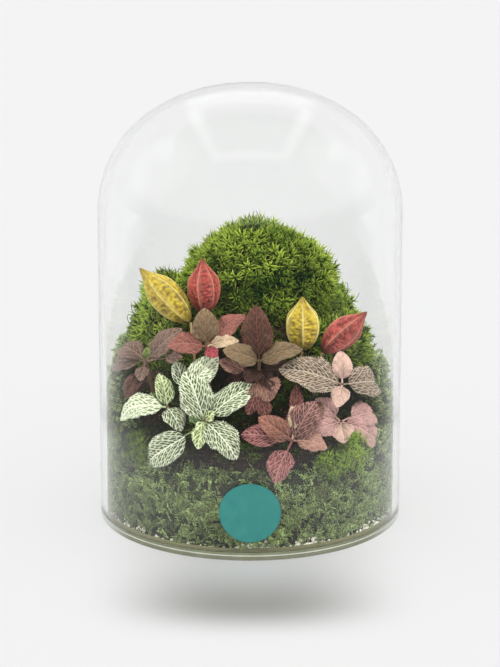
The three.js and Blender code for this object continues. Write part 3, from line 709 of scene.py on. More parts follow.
def cushion_places(cushion, others):
    random = np.random.default_rng(cushion["seed"])
    steps = np.arange(cushion["shoots"]) + 0.5
    tilt = np.arccos(1 - 2 * steps / cushion["shoots"])
    turn = GOLDEN_ANGLE * steps
    directions = np.stack([np.sin(tilt) * np.cos(turn), np.sin(tilt) * np.sin(turn), np.cos(tilt)], axis=1)
    directions += random.normal(0, 0.02, directions.shape)
    directions /= np.linalg.norm(directions, axis=1, keepdims=True)
    points, facing = cushion_surface(cushion, directions)
    keep = points[:, 2] > soil_height(points[:, 0], points[:, 1]) - 1 * MM
    keep &= np.hypot(points[:, 0], points[:, 1]) < CUSHION_REACH
    for other in others:
        keep &= ~inside_cushion(points, other, 0.96)
    points, facing = points[keep], facing[keep]
    total = len(points)
    clumps = np.array([noise.noise(Vector(point) * 95) for point in points])
    axis = facing + random.normal(0, 0.28, points.shape) + np.array([[0, 0, 0.3]])
    return {
        "origin": points + facing * (clumps[:, None] * 2.4 * MM - SHOOT_SINK
                                     - 2.5 * MM * random.uniform(0, 1, (total, 1)) ** 2),
        "axis": axis,
        "size": random.uniform(*SHOOT_SIZES, total) * MM,
        "turn": random.uniform(0, 2 * math.pi, total),
        # Painted light: the tint rises on the cushion's top and sides; it also varies by clumps and at
        # random.
        "tint": np.clip(0.1 + 0.35 * facing[:, 2] + 0.35 * np.abs(facing[:, 0]) + 0.6 * clumps
                        + random.normal(0, 0.22, total), 0, 1),
    }


def cushion_mat(cushion):
    """Shrinks a cushion's solid towards its middle, so that its tufts don't hide the shoots."""
    def drawn_back(points):
        offset = points - cushion["centre"]
        share = np.linalg.norm(offset / cushion["radii"], axis=1, keepdims=True)
        held = np.minimum(share, CUSHION_MAT)
        return cushion["centre"] + offset * (held / np.maximum(share, 1e-6))
    return drawn_back


cushion_material = moss_material("cushion_moss", (3, 6, 2), (28, 58, 10), (88, 130, 25), (198, 210, 90), 26)
shoot_shapes = [star_shoot(70 + number) for number in range(6)]
for number, cushion in enumerate(CUSHIONS):
    others = CUSHIONS[:number] + CUSHIONS[number + 1:]
    growth = scattered("shoots", shoot_shapes, cushion_places(cushion, others))
    name = f"cushion_moss_{cushion['side']}"
    bun = backed(f"{name}_growth", growth, name, cushion_mat(cushion), 0.8 * MM)
    fit_out(bun, cushion_material, "cushion_moss", name)

# ---------------------------------------------------------------- moss between the plants
# The same shoots, small and dark, cover the planting slope under the leaves, and fuller tufts stand
# against the glass and beside the mound. A few dry, curled stalks stick out of the moss.

# Places and sizes in mm; a stalk is its foot, the point it bends towards and its tip.
SLOPE_SHOOTS = 1700
SLOPE_REACH = 82 * MM
SLOPE_BACK = 20 * MM
SLOPE_SIZES = (5, 8)
TUFT_SIZES = (7, 10)
TUFTS = [
    {"centre": (-74, -54, 57), "radius": 13, "shoots": 60, "tint": 0.15},
    {"centre": (66, -60, 59), "radius": 13, "shoots": 75, "tint": 0.95},
    {"centre": (52, -72, 52), "radius": 10, "shoots": 30, "tint": 0.6},
    {"centre": (58, 8, 143), "radius": 9, "shoots": 60, "tint": 0.8},
    {"centre": (-62, 4, 146), "radius": 8, "shoots": 50, "tint": 0.9},
]
DRY_STALKS = [
    ((6, 12, 188), (8, 10, 198), (4, 9, 205)),
    ((-68, 0, 131), (-80, -3, 136), (-78, -4, 146)),
    ((-72, -2, 128), (-84, -4, 132), (-80, -6, 139)),
    ((-52, 2, 158), (-54, 0, 168), (-60, -1, 169)),
    ((58, 4, 145), (67, 0, 150), (64, 0, 159)),
    ((62, 0, 142), (70, -3, 146), (72, -4, 153)),
]


def slope_places():
    random = np.random.default_rng(90)
    x = random.uniform(-82, 82, SLOPE_SHOOTS) * MM
    y = random.uniform(-82, 75, SLOPE_SHOOTS) * MM
    keep = np.hypot(x, y) < SLOPE_REACH
    back = y > SLOPE_BACK
    points = np.stack([x, y, soil_height(x, y)], axis=1)
    for cushion in CUSHIONS:
        keep &= ~inside_cushion(points, cushion, 1.0)
    points = points[keep]
    back = back[keep]
    tint = random.uniform(0, 0.25, len(points)) + 0.5 * back
    size = random.uniform(*SLOPE_SIZES, len(points)) * MM * (1 + 0.5 * back)
    for tuft in TUFTS:
        spots = random.normal(0, 1, (tuft["shoots"], 3))
        spots /= np.linalg.norm(spots, axis=1, keepdims=True)
        spots *= random.uniform(0.3, 1, (tuft["shoots"], 1)) * tuft["radius"] * MM
        points = np.concatenate([points, np.array(tuft["centre"]) * MM + spots])
        tint = np.concatenate([tint, np.clip(tuft["tint"] + random.normal(0, 0.1, len(spots)), 0, 1)])
        size = np.concatenate([size, random.uniform(*TUFT_SIZES, len(spots)) * MM])
    total = len(points)
    lean = np.where(points[:, 1] > SLOPE_BACK, 0.4, -0.55)
    axis = np.stack([np.zeros(total), lean, np.full(total, 0.8)], axis=1)
    axis += random.normal(0, 0.35, (total, 3))
    return {"origin": points, "axis": axis, "size": size, "turn": random.uniform(0, 6.3, total), "tint": tint}


def tube(name, points, radii, sides=3):
    """A round rod through points, as a bevelled curve made into a mesh with closed ends."""
    curve = bpy.data.curves.new(name, "CURVE")
    curve.dimensions = "3D"
    curve.bevel_depth = 1
    curve.bevel_resolution = sides
    curve.use_fill_caps = True
    line = curve.splines.new("POLY")
    line.points.add(len(points) - 1)
    for mark, point, radius in zip(line.points, points, radii):
        mark.co = (*point, 1)
        mark.radius = radius
    piece = bpy.data.objects.new(name, curve)
    bpy.context.collection.objects.link(piece)
    take(piece)
    bpy.ops.object.convert(target="MESH")
    return bpy.context.object


def dry_stalk(foot, bend, tip):
    """A thin dark stalk on a curve from its foot to its tip, bent towards a point between them."""
    step = np.linspace(0, 1, 9)[:, None]
    path = (1 - step)**2 * np.array(foot) + 2 * step * (1 - step) * np.array(bend) + step**2 * np.array(tip)
    return tube("stalk", path * MM, np.linspace(0.3, 0.15, 9) * MM)


slope_shoots = scattered("slope_shoots", shoot_shapes, slope_places())
slope_moss = join_as("slope_moss", [slope_shoots] + [dry_stalk(*stalk) for stalk in DRY_STALKS])
take(slope_moss)
bpy.ops.object.shade_smooth()
slope_material = moss_material("slope_moss", (3, 6, 2), (24, 38, 13), (84, 120, 32), (176, 200, 76), 26)
fit_out(slope_moss, slope_material, "cushion_moss")

# ---------------------------------------------------------------- nerve plants
# Ten small Fittonias, each a thin stem with two to eight soft oval leaves, and with smaller old leaves
# lower down on three of them. The blades are quilted between sunken veins, finely toothed, and netted in
# cream, pink or red on green to maroon ground.
STEM_RADIUS = 1.2 * MM
STEM_ROOT_DEPTH = 9 * MM
STALK_RADIUS = 0.75 * MM
BLADE_COLUMNS = 22
BLADE_STEP = 0.5 * MM
BLADE_THICKNESS = 0.4 * MM
BLADE_FOLD = 0.5
BLADE_FLARE = 0.46
QUILT_RISE = 0.55 * MM
MIDRIB_SINK = 0.45 * MM
MIDRIB_WIDTH = 0.8 * MM
RUFFLES = ((0.11, 2.1), (0.05, 5.3))
STEM_COLOUR = (112, 84, 64)
FOOT_POWER = 0.56
TIP_POWER = 0.76
TOOTH = (0.05, 0.015, -0.04)
VEIN_SPACING = 5.8
VEIN_LEAN = 1.2
VEIN_BEND = 0.05
LEAF_MAP = 40
LIGHT = np.array([0, -0.75, 0.66])
LEAF_ROLL = 13
LEAF_REACH = 94.5 * MM

# Tiers of old leaves: mm below the crown, first heading, number, lift (degrees) and share of the size.
OLD_TIERS = [(7, 90, 5, -8, 0.8), (13, 35, 5, -22, 0.7)]

# Each finish: ground colour, vein colour, and how wide the net's threads are (mm).
FINISHES = {
    "cream_net": ((86, 104, 56), (234, 237, 212), 0.23),
    "cream": ((146, 164, 112), (236, 240, 214), 0.40),
    "young_cream": ((110, 130, 66), (224, 231, 186), 0.25),
    "green": ((58, 84, 44), (150, 172, 120), 0.20),
    "brown_purple": ((108, 86, 76), (156, 130, 118), 0.18),
    "bud_green": ((112, 132, 66), (160, 170, 110), 0.14),
    "dim_red": ((98, 68, 60), (130, 94, 84), 0.14),
    "olive_brown": ((120, 98, 74), (160, 134, 106), 0.12),
    "salmon": ((142, 88, 80), (174, 120, 108), 0.15),
    "beige": ((202, 176, 146), (218, 196, 166), 0.12),
    "magenta": ((140, 56, 66), (190, 104, 106), 0.16),
    "maroon": ((74, 56, 43), (128, 75, 66), 0.16),
    "olive_tan": ((116, 98, 74), (150, 126, 100), 0.14),
    "grey_brown": ((122, 94, 80), (176, 126, 116), 0.17),
    "dark_pink": ((82, 50, 44), (142, 94, 88), 0.20),
    "purple_brown": ((94, 66, 58), (182, 134, 128), 0.20),
    "orange_brown": ((122, 88, 74), (184, 122, 110), 0.19),
    "salmon_beige": ((158, 118, 104), (196, 154, 140), 0.20),
    "pink_maroon": ((110, 62, 61), (198, 140, 136), 0.22),
    "olive_net": ((96, 79, 64), (208, 190, 170), 0.24),
    "pale_pink": ((214, 178, 164), (228, 198, 184), 0.12),
    "mauve": ((188, 144, 140), (216, 178, 170), 0.17),
    # Painted shade: the old leaves' finishes are darker copies of their plants' finishes.
    "old_shaded_brown": ((66, 50, 43), (104, 80, 70), 0.14),
    "old_shaded_maroon": ((44, 29, 25), (80, 54, 48), 0.16),
    "old_shaded_pink": ((66, 42, 38), (118, 82, 76), 0.20),
}

# Each plant: its name, its crown and its root (mm), and its leaves as heading and lift (degrees), length,
# width and stalk (mm), arch, how far it stands below the crown (mm) and finish.
PLANTS = [
    ("white_left", (-53, -60, 92), (-46, -52), [
        (157, -17, 37, 18, 3, 0.2, 0, "cream"),
        (112, 62, 23, 12, 2, 0.05, 0, "young_cream"),
        (-60, -33, 20, 14, 2, 0.1, 0, "cream_net"),
        (150, 33, 18, 7, 5, 0, 4, "green"),
    ]),
    ("white_right", (-29, -77, 88), (-25, -68), [
        (158, 67, 34, 23, 3, 0.05, 0, "cream_net"),
        (18, 31, 41, 19, 7, 0.1, 0, "cream_net"),
        (-31, -42, 32, 21, 3, 0.12, 0, "cream_net"),
        (166, -36, 51, 20, 15, 0.1, 4, "cream_net"),
        (-110, -50, 19, 11, 3, 0.1, 0, "young_cream"),
        (-25, 47, 10, 7, 1, 0, 0, "young_cream"),
        (143, 7, 13, 9, 2, 0.1, 0, "green"),
        (-126, -20, 9, 6, 1, 0, 0, "young_cream"),
    ]),
    ("white_back", (-41, -55, 102), (-37, -49), [
        (12, 47, 30, 17, 4, 0.08, 0, "cream"),
        (128, 55, 21, 11, 3, 0.05, 0, "cream_net"),
    ]),
    ("purple_left", (-67, -40, 117), (-61, -37), [
        (136, -18, 35, 16, 5, 0.12, 0, "brown_purple"),
        (133, 10, 27, 15, 4, 0.15, 0, "brown_purple"),
        (-15, 47, 33, 15, 5, 0.05, 0, "brown_purple"),
        (-54, 76, 10, 6, 2, 0, 0, "bud_green"),
        (-104, -28, 17, 9, 5, 0, 0, "brown_purple"),
        (-30, 14, 28, 8, 16, 0.05, 0, "brown_purple"),
        (-150, -55, 27, 10, 10, 0.1, 0, "dim_red"),
    ]),
    ("red", (-28, -50, 130), (-26, -44), [
        (113, 82, 25, 17, 3, 0.05, 0, "olive_brown"),
        (-170, 6, 25, 16, 3, 0.12, 0, "salmon"),
        (14, 42, 32, 15, 5, 0.05, 0, "salmon"),
        (-17, 18, 22, 9, 4, 0.1, 0, "beige"),
        (-60, -18, 13, 9, 3, 0.1, 0, "magenta"),
    ]),
    ("maroon", (6, -56, 122), (5, -50), [
        (105, 80, 36, 20, 4, 0.05, 0, "maroon"),
        (-165, 20, 25, 15, 2, 0.1, 0, "olive_tan"),
        (-13, 20, 29, 15, 2, 0.12, 0, "olive_tan"),
    ]),
    ("brown", (6, -61, 111), (2, -57), [
        (-60, -38, 17, 22, 1, 0.15, 0, "grey_brown"),
        (165, 24, 29, 11, 12, 0.05, 0, "grey_brown"),
        (-110, -42, 26, 11, 10, 0.1, 0, "dark_pink"),
        (-75, -40, 26, 10, 16, 0.1, 3, "dark_pink"),
    ]),
    ("dusky", (27, -80, 76), (24, -70), [
        (32, 58, 29, 20, 2, 0.05, 0, "purple_brown"),
        (-169, 38, 27, 15, 3, 0.05, 0, "orange_brown"),
        (5, -12, 23, 15, 3, 0.12, 0, "salmon_beige"),
        (177, 8, 33, 15, 9, 0.08, 0, "pink_maroon"),
        (-136, -54, 30, 18, 8, 0.05, 0, "pink_maroon"),
        (81, 68, 24, 7, 7, 0.1, 0, "beige"),
        (78, 61, 37, 9, 16, 0.05, 0, "dark_pink"),
        (43, 37, 33, 13, 15, 0.05, 0, "grey_brown"),
    ]),
    ("olive", (59, -56, 106), (52, -42), [
        (-171, 18, 42, 24, 3, 0.1, 0, "olive_net"),
        (90, 72, 22, 13, 4, 0.05, 0, "pale_pink"),
        (-104, -34, 18, 12, 2, 0.1, 0, "pale_pink"),
        (51, -14, 43, 21, 5, 0.1, 0, "olive_net"),
    ]),
    ("pink", (58, -60, 82), (50, -56), [
        (180, 46, 22, 14, 5, 0.05, 0, "mauve"),
        (50, -4, 38, 17, 9, 0.1, 0, "mauve"),
        (22, -25, 22, 14, 4, 0.05, 0, "mauve"),
        (-80, -38, 16, 15, 2, 0.05, 0, "pale_pink"),
        (38, -32, 38, 16, 15, 0.1, 0, "mauve"),
        (-155, -12, 22, 14, 2, 0.1, 0, "mauve"),
    ]),
]
OLD_SHADED_FINISHES = {"purple_left": "old_shaded_brown", "maroon": "old_shaded_maroon", "dusky": "old_shaded_pink"}
PLANT_SLOTS = {"white_left": "white_veined_leaf", "white_right": "white_veined_leaf",
               "white_back": "white_veined_leaf", "purple_left": "purple_leaf", "red": "red_leaf",
               "maroon": "maroon_leaf", "brown": "brown_leaf", "dusky": "dusky_pink_leaf",
               "olive": "olive_leaf", "pink": "pink_leaf"}


def leaf_frame(heading, lift, roll=0):
    """A leaf's own directions: along it, across it and up from its face, which is turned to the light
    and then rolled about the leaf by a few degrees."""
    turn, rise, lean = math.radians(heading), math.radians(lift), math.radians(roll)
    along = np.array([math.cos(turn) * math.cos(rise), math.sin(turn) * math.cos(rise), math.sin(rise)])
    across = np.cross(LIGHT, along)
    across /= np.linalg.norm(across)
    up = np.cross(along, across)
    return along, across * math.cos(lean) + up * math.sin(lean), up * math.cos(lean) - across * math.sin(lean)


def outline(share):
    """Half width of a blade from its foot (0) to its tip (1): round below, pointed above."""
    curve = share**FOOT_POWER * (1 - share) ** TIP_POWER
    peak = FOOT_POWER / (FOOT_POWER + TIP_POWER)
    return curve / (peak**FOOT_POWER * (1 - peak) ** TIP_POWER)


def lay_map(piece, side, run):
    """Lays a blade's flat map, where a unit is LEAF_MAP mm and the midrib runs up the middle."""
    layer = piece.data.uv_layers.active
    layer.name = "leaf_map"
    corner_of_loop = np.empty(len(piece.data.loops), dtype=np.int32)
    piece.data.loops.foreach_get("vertex_index", corner_of_loop)
    flat_map = np.stack([0.5 + side / MM / LEAF_MAP, run / MM / LEAF_MAP], axis=1)
    layer.data.foreach_set("uv", flat_map[corner_of_loop].astype(np.float32).ravel())


def paint_blade(piece, finish, share, edge, random):
    """Paints a blade's finish on it: painted shade, darker towards the foot, with threads that thicken to the
    margin.
    """
    ground, net, thread = FINISHES[finish]
    shade = random.uniform(0.82, 1.08)
    # Painted shade: the ground darkens towards the blade's foot and along its middle.
    old = 0.72 + 0.34 * smoothstep(0, 0.7, share) - 0.1 * (1 - np.abs(edge))
    tone = np.clip(np.outer(old * shade, srgb(*ground)), 0, 1)
    tone[:, 3] = 1
    paint(piece, "ground", tone, "FLOAT_COLOR")
    paint(piece, "net", srgb(*net), "FLOAT_COLOR")
    paint(piece, "thread", thread * (0.8 + 0.3 * share + 0.35 * np.abs(edge) ** 3))
    paint(piece, "edge", np.abs(edge))


def blade(foot, leaf, seed):
    """A grid laid along the midrib, narrowed to the outline and toothed. The two halves rise from the
    sunken midrib and turn down again at the margin, and the blade puffs up between its side veins."""
    heading, lift, length, width, stalk, arch, _, finish = leaf
    random = np.random.default_rng(seed)
    along, across, up = leaf_frame(heading, lift, random.uniform(-LEAF_ROLL, LEAF_ROLL))
    span = (length - stalk) * MM
    rows = max(15, 3 * round(span / BLADE_STEP / 3))
    piece = new_shape(bpy.ops.mesh.primitive_grid_add, x_subdivisions=BLADE_COLUMNS, y_subdivisions=rows,
                      size=2)
    flat = corners(piece)
    edge = flat[:, 0]
    share = flat[:, 1] * 0.5 + 0.5
    row = np.rint(share * rows).astype(int)
    ends = smoothstep(0, 0.12, share) * smoothstep(0, 0.1, 1 - share)
    tooth = 1 + np.array(TOOTH)[row % 3] * np.abs(edge) ** 3 * ends * random.uniform(0.8, 1.7)
    half = np.maximum(width / 2 * MM * outline(np.clip(share, 0, 1)), 0.4 * MM * (1.15 - share)) * tooth
    side = edge * half
    distance = stalk * MM + span * share
    t = distance / (length * MM)
    phase = ((share * span - VEIN_LEAN * np.abs(side)) / MM - VEIN_BEND * (side / MM) ** 2) / VEIN_SPACING
    phase += np.where(side > 0, 0.5, 0)
    plump = np.minimum(1, half / (6 * MM)) * smoothstep(0.03, 0.25, np.abs(edge))
    quilt = QUILT_RISE * (np.abs(np.sin(math.pi * phase)) - 0.6) * plump * (1 - 0.5 * np.abs(edge) ** 3)
    midrib = -MIDRIB_SINK * np.exp(-((side / MIDRIB_WIDTH) ** 2)) * (1 - share) ** 0.5
    hand = np.where(side > 0, 1.7, 0)
    waves = [depth * np.sin(2 * math.pi * count * share + start + hand)
             for (depth, count), start in zip(RUFFLES, random.uniform(0, 6.3, 2))]
    ruffle = sum(waves) * half * edge**2
    fold = half * (BLADE_FOLD * np.abs(edge) - BLADE_FLARE * edge**2) * random.uniform(0.7, 1.3)
    droop = -random.uniform(0.05, 0.13) * span * smoothstep(0.5, 1, share) ** 2
    sweep = random.uniform(-0.06, 0.06) * span * share**2
    rise = arch * length * MM * 4 * t * (1 - t) + quilt + midrib + ruffle + fold + droop
    points = foot + distance[:, None] * along + (side + sweep)[:, None] * across + rise[:, None] * up
    move_corners(piece, pressed(points, LEAF_REACH))
    lay_map(piece, side, share * span)
    paint_blade(piece, finish, share, edge, random)
    return piece


def lower_leaves(variety, leaves, crown_drop, random):
    """The older leaves under a crown: smaller, darker by painted shade, all round the stem and hanging a
    little.
    """
    lengths = sorted(leaf[2] - leaf[4] for leaf in leaves)
    middle = lengths[len(lengths) // 2]
    made = []
    for below, start, count, lift, share in OLD_TIERS:
        if below > 0.6 * crown_drop:
            continue
        for number in range(count):
            heading = start + 360 * number / count + random.uniform(-20, 20)
            if -math.sin(math.radians(heading)) < -0.35:
                continue
            blade_length = middle * share * random.uniform(0.75, 1.1)
            stalk = random.uniform(3, 6)
            tilt = lift + random.uniform(-14, 12)
            width = blade_length * random.uniform(0.52, 0.66)
            length = blade_length + stalk
            made.append((heading, tilt, length, width, stalk, 0.06, below, OLD_SHADED_FINISHES[variety]))
    return made


def leaf_stalk(foot, leaf):
    heading, lift, length, _, stalk, arch, _, finish = leaf
    along, _, up = leaf_frame(heading, lift)
    reach = np.linspace(0, stalk + (length - stalk) * 0.25, 6) * MM
    t = reach / (length * MM)
    rise = arch * length * MM * 4 * t * (1 - t) - 0.25 * MM - np.where(reach > stalk * MM, 0.5 * MM, 0)
    points = foot + reach[:, None] * along + rise[:, None] * up
    piece = tube("stalk", points, np.linspace(1.0, 0.35, 6) * STALK_RADIUS, 2)
    ground, net, _ = FINISHES[finish]
    mixed = srgb(*(0.6 * np.array(ground) + 0.4 * np.array(net)))
    for attribute in ("ground", "net"):
        paint(piece, attribute, mixed, "FLOAT_COLOR")
    return piece


def leaf_nerves():
    """The net of veins on a blade, drawn in mm on its map: midrib, curved side veins that bend to the
    tip, and between them long meshes. Gives a mask of the net, and a height that sinks along it."""
    group, given, result = node_group("leaf_nerves", {"Thread": "Float"}, {"Net": "Float", "Height": "Float"})
    thread = given["Thread"]
    place = add_node(group, "UVMap", uv_map="leaf_map").outputs[0]
    wobble = add_node(group, "TexNoise", {"Vector": place, "Scale": 26, "Detail": 2}).outputs["Color"]
    shift = add_node(group, "VectorMath", {0: wobble, 1: (0.5, 0.5, 0.5)}, operation="SUBTRACT").outputs[0]
    small = add_node(group, "VectorMath", {0: shift, "Scale": 0.022}, operation="SCALE").outputs[0]
    moved = add_node(group, "VectorMath", {0: place, 1: small}, operation="ADD").outputs[0]
    split = add_node(group, "SeparateXYZ", {0: moved})
    side = math_node(group, "MULTIPLY_ADD", split.outputs[0], LEAF_MAP, -LEAF_MAP / 2)
    run = math_node(group, "MULTIPLY", split.outputs[1], LEAF_MAP)
    away = math_node(group, "ABSOLUTE", side)
    bend = math_node(group, "MULTIPLY", math_node(group, "MULTIPLY", away, away), VEIN_BEND)
    lean = math_node(group, "MULTIPLY_ADD", away, VEIN_LEAN, bend)
    level = math_node(group, "DIVIDE", math_node(group, "SUBTRACT", run, lean), VEIN_SPACING)
    other_side = math_node(group, "MULTIPLY", math_node(group, "GREATER_THAN", side, 0), 0.5)
    phase = math_node(group, "ADD", level, other_side)
    between = math_node(group, "MULTIPLY", math_node(group, "PINGPONG", phase, 0.5), VEIN_SPACING)
    mesh_place = add_node(group, "CombineXYZ", {
        0: math_node(group, "MULTIPLY_ADD", phase, 2.0, 0.85),
        1: math_node(group, "DIVIDE", side, 2.0),
    })
    meshes = add_node(group, "TexVoronoi", {"Vector": mesh_place.outputs[0], "Scale": 1, "Randomness": 0.7},
                      voronoi_dimensions="2D", feature="DISTANCE_TO_EDGE").outputs["Distance"]
    wall = math_node(group, "MULTIPLY", meshes, 1.9)

    def line(distance, half_width, softness):
        return mapped(group, distance, math_node(group, "ADD", half_width, softness), half_width)

    laterals = line(between, math_node(group, "MULTIPLY", thread, 1.15), 0.24)
    net = line(wall, math_node(group, "MULTIPLY", thread, 0.52), 0.22)
    rib = line(away, math_node(group, "MULTIPLY", thread, 1.5), 0.25)
    strong = math_node(group, "MAXIMUM", laterals, rib)
    faint = math_node(group, "MULTIPLY", net, mapped(group, thread, 0.1, 0.34, 0.35, 1.0))
    group.links.new(math_node(group, "MAXIMUM", strong, faint), result["Net"])
    sunken = math_node(group, "MAXIMUM", strong, math_node(group, "MULTIPLY", net, 0.6))
    group.links.new(math_node(group, "SUBTRACT", 1.0, sunken), result["Height"])
    return group


nerves = leaf_nerves()


def leaf_material(name, net_strength):
    material, tree, shader = new_material(name, 0.5)
    net = painted(tree, "net", "Color")
    veins = add_node(tree, "Group", {"Thread": painted(tree, "thread")}, node_tree=nerves)
    shade = ramp(tree, fine_noise(tree, 160, 4), [(0.3, (0.72, 0.72, 0.70, 1)), (0.7, (1.18, 1.15, 1.12, 1))])
    varied = mix_colour(tree, 1.0, painted(tree, "ground", "Color"), shade, "MULTIPLY")
    netted = mix_colour(tree, math_node(tree, "MULTIPLY", veins.outputs["Net"], net_strength), varied, net)
    rim = mapped(tree, painted(tree, "edge"), 0.9, 1.0, 0.0, 0.45)
    tree.links.new(mix_colour(tree, rim, netted, net), shader.inputs["Base Color"])
    give_relief(tree, shader, veins.outputs["Height"], 0.5, 0.0004)
    shader.inputs["Specular IOR Level"].default_value = 0.35
    return material


def thicken(piece, thickness, offset):
    """Gives a flat mesh a thickness, split evenly (offset 0) or all outside it (offset 1)."""
    take(piece)
    solidify = piece.modifiers.new("thickness", "SOLIDIFY")
    solidify.thickness = thickness
    solidify.offset = offset
    bpy.ops.object.modifier_apply(modifier=solidify.name)
    edit_mesh(piece, bpy.ops.mesh.normals_make_consistent, inside=False)


leaf_materials = {}
for number, (variety, crown, root, leaves) in enumerate(PLANTS):
    top = np.array(crown) * MM
    ground = np.array([root[0] * MM, root[1] * MM, float(soil_height(root[0] * MM, root[1] * MM))])
    down = (ground - top) / np.linalg.norm(ground - top)
    drop = np.linalg.norm(ground - top) / MM
    if variety in OLD_SHADED_FINISHES:
        leaves = leaves + lower_leaves(variety, leaves, drop, np.random.default_rng(300 + number))
    feet = [top + down * leaf[6] * MM for leaf in leaves]
    blades = [blade(foot, leaf, 100 + 10 * number + i) for i, (foot, leaf) in enumerate(zip(feet, leaves))]
    foliage = join_as("foliage", blades)
    thicken(foliage, BLADE_THICKNESS, 0)
    steps = np.linspace(0, 1, 8)
    stem_foot = ground + down * STEM_ROOT_DEPTH
    stem_points = [stem_foot + (top - stem_foot) * step for step in steps] + [top - down * 1.5 * MM]
    stem = tube("stem", stem_points, [*(STEM_RADIUS * (1.05 - 0.15 * steps)), 0.5 * MM])
    for attribute in ("ground", "net"):
        paint(stem, attribute, srgb(*STEM_COLOUR), "FLOAT_COLOR")
    stalks = [leaf_stalk(foot, leaf) for foot, leaf in zip(feet, leaves)]
    plant = join_as(f"nerve_plant_{variety}_leaves", [foliage, stem, *stalks])
    bpy.ops.object.shade_smooth()
    slot = PLANT_SLOTS[variety]
    if slot not in leaf_materials:
        leaf_materials[slot] = leaf_material(slot, 1.0 if slot == "white_veined_leaf" else 0.85)
    fit_out(plant, leaf_materials[slot], slot, f"nerve_plant_{variety}")

# ---------------------------------------------------------------- seed pods and picks
# Four dried, dyed seed pods, two yellow and two red. Each is a papery lantern with six sharp pale ribs,
# wrinkled walls between them and a drawn-out tip, and sits on a thin wooden pick pushed into the soil.

# Foot, tip and radius in mm, and the turn of the first rib in degrees.
PODS = [
    {"side": "yellow_left", "foot": (-39, -34, 142), "tip": (-71, -36, 179), "radius": 10.5, "turn": 25},
    {"side": "red_left", "foot": (-29, -30, 146), "tip": (-31, -27, 183), "radius": 10.5, "turn": 10},
    {"side": "yellow_right", "foot": (34, -39, 124), "tip": (34, -37, 160), "radius": 11.5, "turn": -90},
    {"side": "red_right", "foot": (47, -42, 124), "tip": (75, -41, 151), "radius": 10, "turn": 5},
]
POD_RIBS = 6
POD_VALLEY = 0.78
POD_RIDGE = 0.07
POD_WRINKLE = 0.06
POD_FOLD = 0.11
PICK_RADIUS = 0.9 * MM
PICK_LEAN = 3
PICK_INWARD = 0.9
PICK_GAP = 0.8

# Each kind's colours: painted shade in its folds, on its walls, painted highlight on their high places, on
# its ribs, and at both ends.
POD_COLOURS = {
    "yellow": ((116, 88, 12), (166, 138, 14), (192, 170, 36), (236, 220, 138), (100, 80, 34)),
    "red": ((80, 14, 18), (134, 34, 34), (174, 70, 66), (222, 148, 126), (92, 44, 36)),
}


def pod_axes(pod):
    """A pod's foot, its length and its own directions: along it, and two across it."""
    foot, tip = np.array(pod["foot"]) * MM, np.array(pod["tip"]) * MM
    length = np.linalg.norm(tip - foot)
    axis = (tip - foot) / length
    side = np.cross((0, 1, 0), axis)
    side /= np.linalg.norm(side)
    return foot, length, axis, side, np.cross(axis, side)


def seed_pod(pod, seed):
    """A ball drawn out along the pod's axis, ribbed, and wrinkled across between the ribs."""
    foot, length, axis, side, other = pod_axes(pod)
    piece = new_shape(bpy.ops.mesh.primitive_uv_sphere_add, segments=120, ring_count=80, radius=1)
    ball = corners(piece)
    along = np.arccos(np.clip(-ball[:, 2], -1, 1)) / math.pi
    angle = np.arctan2(ball[:, 1], ball[:, 0])
    local = POD_RIBS / 2 * (angle - math.radians(pod["turn"]))
    crest = (1 - np.abs(np.sin(local))) ** 1.3
    ridge = np.exp(-((np.sin(local) / 0.085) ** 2))
    body = np.sin(math.pi * np.clip(along, 0, 1) ** 0.9) ** 0.62
    body *= 1 - 0.5 * smoothstep(0.6, 0.98, along)
    wrinkle = np.array([noise.fractal(Vector((math.cos(a) * 3, math.sin(a) * 3, b * 11 + seed)), 0.8, 2, 4)
                        for a, b in zip(angle, along)])
    folds = np.array([noise.noise(Vector((math.cos(a) * 3.2, math.sin(a) * 3.2, b * 26 + seed)))
                      for a, b in zip(angle, along)])
    between = 1 - np.exp(-((np.sin(local) / 0.25) ** 2))
    reach = POD_VALLEY + (1 - POD_VALLEY) * crest + POD_RIDGE * ridge
    uneven = between * (POD_WRINKLE * wrinkle + POD_FOLD * folds)
    reach += uneven * smoothstep(0.05, 0.2, along) * (1 - along) ** 0.3
    radius = pod["radius"] * MM * reach * body
    end = 0.35 * MM * (1 - along) + 0.12 * MM
    radius = np.maximum(radius, end * np.clip(np.hypot(ball[:, 0], ball[:, 1]) * 6, 0, 1))
    points = (foot + (along * length)[:, None] * axis + (radius * np.cos(angle))[:, None] * side
              + (radius * np.sin(angle))[:, None] * other)
    move_corners(piece, points)
    # Painted shade and highlight: the fold value is low in the wrinkles' folds and in a line beside each rib,
    # and high on the raised walls.
    flank = np.exp(-(((np.abs(np.sin(local)) - 0.24) / 0.1) ** 2))
    paint(piece, "rib", np.maximum(ridge, 0.25 * crest))
    paint(piece, "fold", np.clip(0.5 + 0.45 * wrinkle + 0.9 * folds - 0.3 * flank, 0, 1))
    paint(piece, "share", along)
    edit_mesh(piece, bpy.ops.mesh.normals_make_consistent, inside=False)
    bpy.ops.object.shade_smooth()
    piece.name = f"pod_{pod['side']}_shell"
    piece.data.name = piece.name
    return piece


